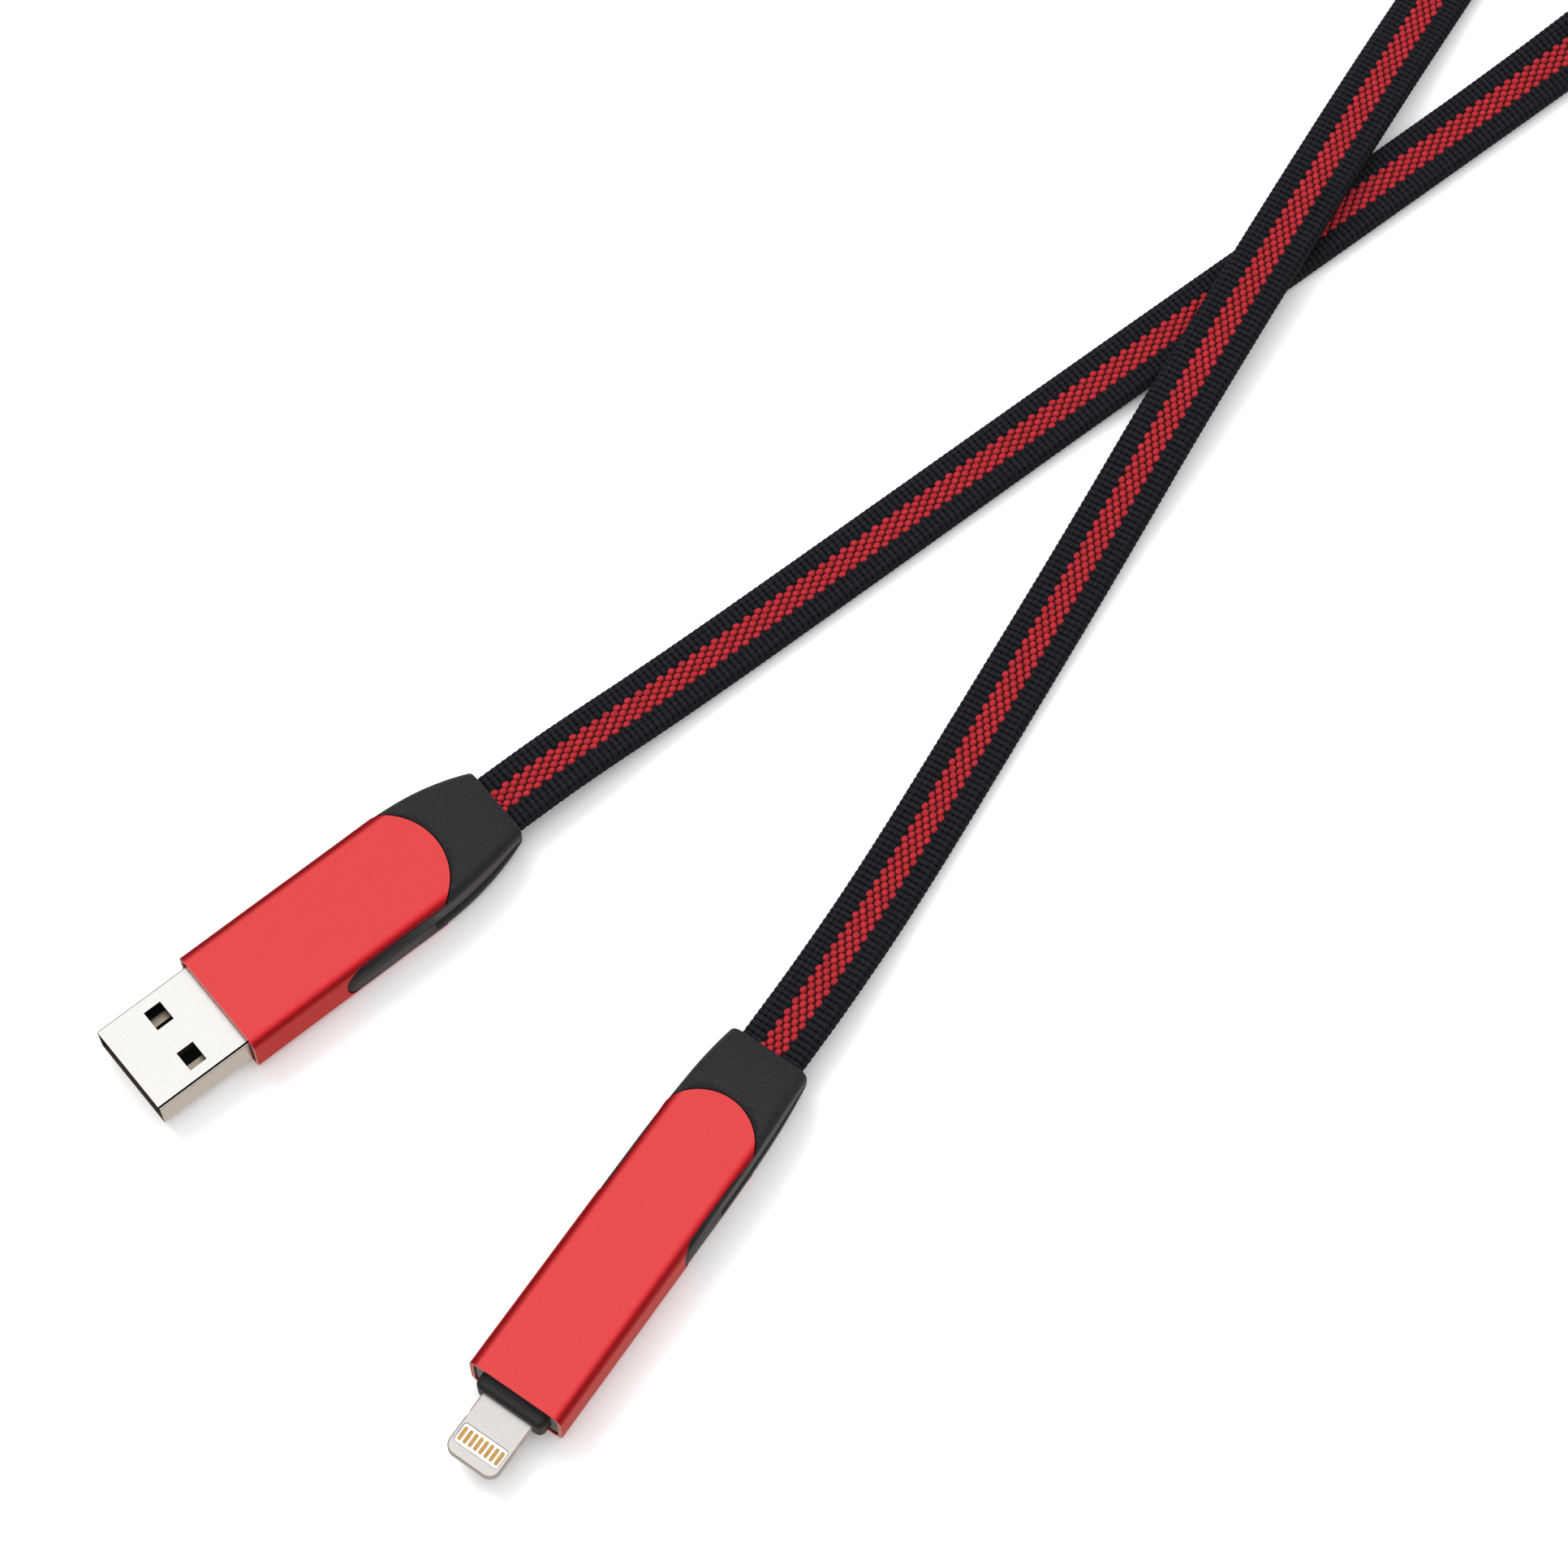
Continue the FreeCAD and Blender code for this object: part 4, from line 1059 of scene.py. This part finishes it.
def lay_floor():
    """A wide pale sheet just under the cable."""
    shape = bmesh.new()
    place = Matrix.Translation((0, 0, -FLOOR_DEPTH))
    bmesh.ops.create_grid(shape, x_segments=1, y_segments=1, size=FLOOR_REACH, matrix=place)
    mesh = mesh_of(shape, "floor")
    paper, shader = new_material("floor_paper", FLOOR_TONE, roughness=0.8)
    set_sockets(shader, {"Specular IOR Level": 0.1})
    set_sockets(shader, {"Emission Color": (1.0, 1.0, 1.0, 1.0), "Emission Strength": FLOOR_GLOW})
    mesh.materials.append(paper)
    floor = add_object("floor", mesh)
    floor.visible_glossy = False
    floor.visible_shadow = False
    return floor


def light_room():
    """A plain studio room around the stage, bright above and pale below."""
    world = bpy.data.worlds.new("studio")
    world.use_nodes = True
    nodes, links = world.node_tree.nodes, world.node_tree.links
    where = nodes.new("ShaderNodeTexCoord")
    apart = nodes.new("ShaderNodeSeparateXYZ")
    span = nodes.new("ShaderNodeMapRange")
    set_sockets(span, {"From Min": -1.0, "From Max": 1.0})
    ramp = nodes.new("ShaderNodeValToRGB")
    tones = ramp.color_ramp.elements
    for tone, colour in zip(tones, (ROOM_BELOW, ROOM_ABOVE)):
        tone.color = (*colour, 1)
    for height, colour in ROOM_BETWEEN.items():
        tones.new((height + 1) / 2).color = (*colour, 1)
    links.new(where.outputs["Generated"], apart.inputs["Vector"])
    links.new(apart.outputs["Z"], span.inputs["Value"])
    links.new(span.outputs["Result"], ramp.inputs["Fac"])
    links.new(ramp.outputs["Color"], nodes["Background"].inputs["Color"])
    set_sockets(nodes["Background"], {"Strength": ROOM_STRENGTH})
    return world


def hang_lamp(name, place, width, power):
    """A square lamp that faces the cable."""
    lamp = bpy.data.lights.new(name, "AREA")
    lamp.size = width
    lamp.energy = power
    holder = add_object(name, lamp)
    holder.location = place
    holder.visible_glossy = False
    aim = Vector(LAMP_AIM) - Vector(place)
    holder.rotation_mode = "QUATERNION"
    holder.rotation_quaternion = aim.to_track_quat("-Z", "Y")


def photo_camera():
    """The camera that stands where the photograph was taken."""
    view = bpy.data.cameras.new("photo_camera")
    view.sensor_width = CAMERA_SENSOR
    view.lens = CAMERA_LENS
    view.clip_start, view.clip_end = CAMERA_REACH
    camera = add_object("photo_camera", view)
    turn = Matrix((Vector(CAMERA_RIGHT), Vector(CAMERA_UP), -Vector(CAMERA_FORWARD))).transposed()
    camera.matrix_world = Matrix.Translation(CAMERA_PLACE) @ turn.to_4x4()
    return camera


class CABLE_OT_set_stage(bpy.types.Operator):
    """Set the floor, the light and the camera"""

    bl_idname = "cable.set_stage"
    bl_label = "Set the stage"

    def execute(self, context):
        lay_floor()
        context.scene.world = light_room()
        for name, lamp in LAMPS.items():
            hang_lamp(name, **lamp)
        context.scene.camera = photo_camera()
        context.scene.view_settings.view_transform = "Standard"
        return {"FINISHED"}


STEPS = (
    CABLE_OT_set_stage,
    CABLE_OT_lay_cord,
    CABLE_OT_finish_sleeves,
    CABLE_OT_finish_boots,
    CABLE_OT_finish_shell,
    CABLE_OT_finish_tab,
    CABLE_OT_finish_inside,
    CABLE_OT_finish_ties,
)


class CABLE_PT_panel(bpy.types.Panel):
    """Panel with the cable's sizes, colours and steps"""

    bl_label = "Charging Cable"
    bl_idname = "CABLE_PT_panel"
    bl_space_type = "VIEW_3D"
    bl_region_type = "UI"
    bl_category = "Charging Cable"

    def draw(self, context):
        layout = self.layout
        for group in (context.scene.cable_sizes, context.scene.cable_colours):
            box = layout.box()
            for name in group.bl_rna.properties.keys():
                if name not in ("rna_type", "name"):
                    box.prop(group, name)
        for step in STEPS:
            layout.operator(step.bl_idname)


CLASSES = (CableSizes, CableColours, *STEPS, CABLE_PT_panel)


def register():
    """Make the classes and the sidebar's values known to Blender."""
    for made in CLASSES:
        bpy.utils.register_class(made)
    bpy.types.Scene.cable_sizes = bpy.props.PointerProperty(type=CableSizes)
    bpy.types.Scene.cable_colours = bpy.props.PointerProperty(type=CableColours)


def unregister():
    """Take them away again."""
    del bpy.types.Scene.cable_colours
    del bpy.types.Scene.cable_sizes
    for made in reversed(CLASSES):
        bpy.utils.unregister_class(made)


def main():
    """Dress the cable."""
    register()
    bpy.ops.cable.set_stage()
    bpy.ops.cable.lay_cord()
    bpy.ops.cable.finish_sleeves()
    bpy.ops.cable.finish_boots()
    bpy.ops.cable.finish_shell()
    bpy.ops.cable.finish_tab()
    bpy.ops.cable.finish_inside()
    bpy.ops.cable.finish_ties()


if __name__ == "__main__":
    main()
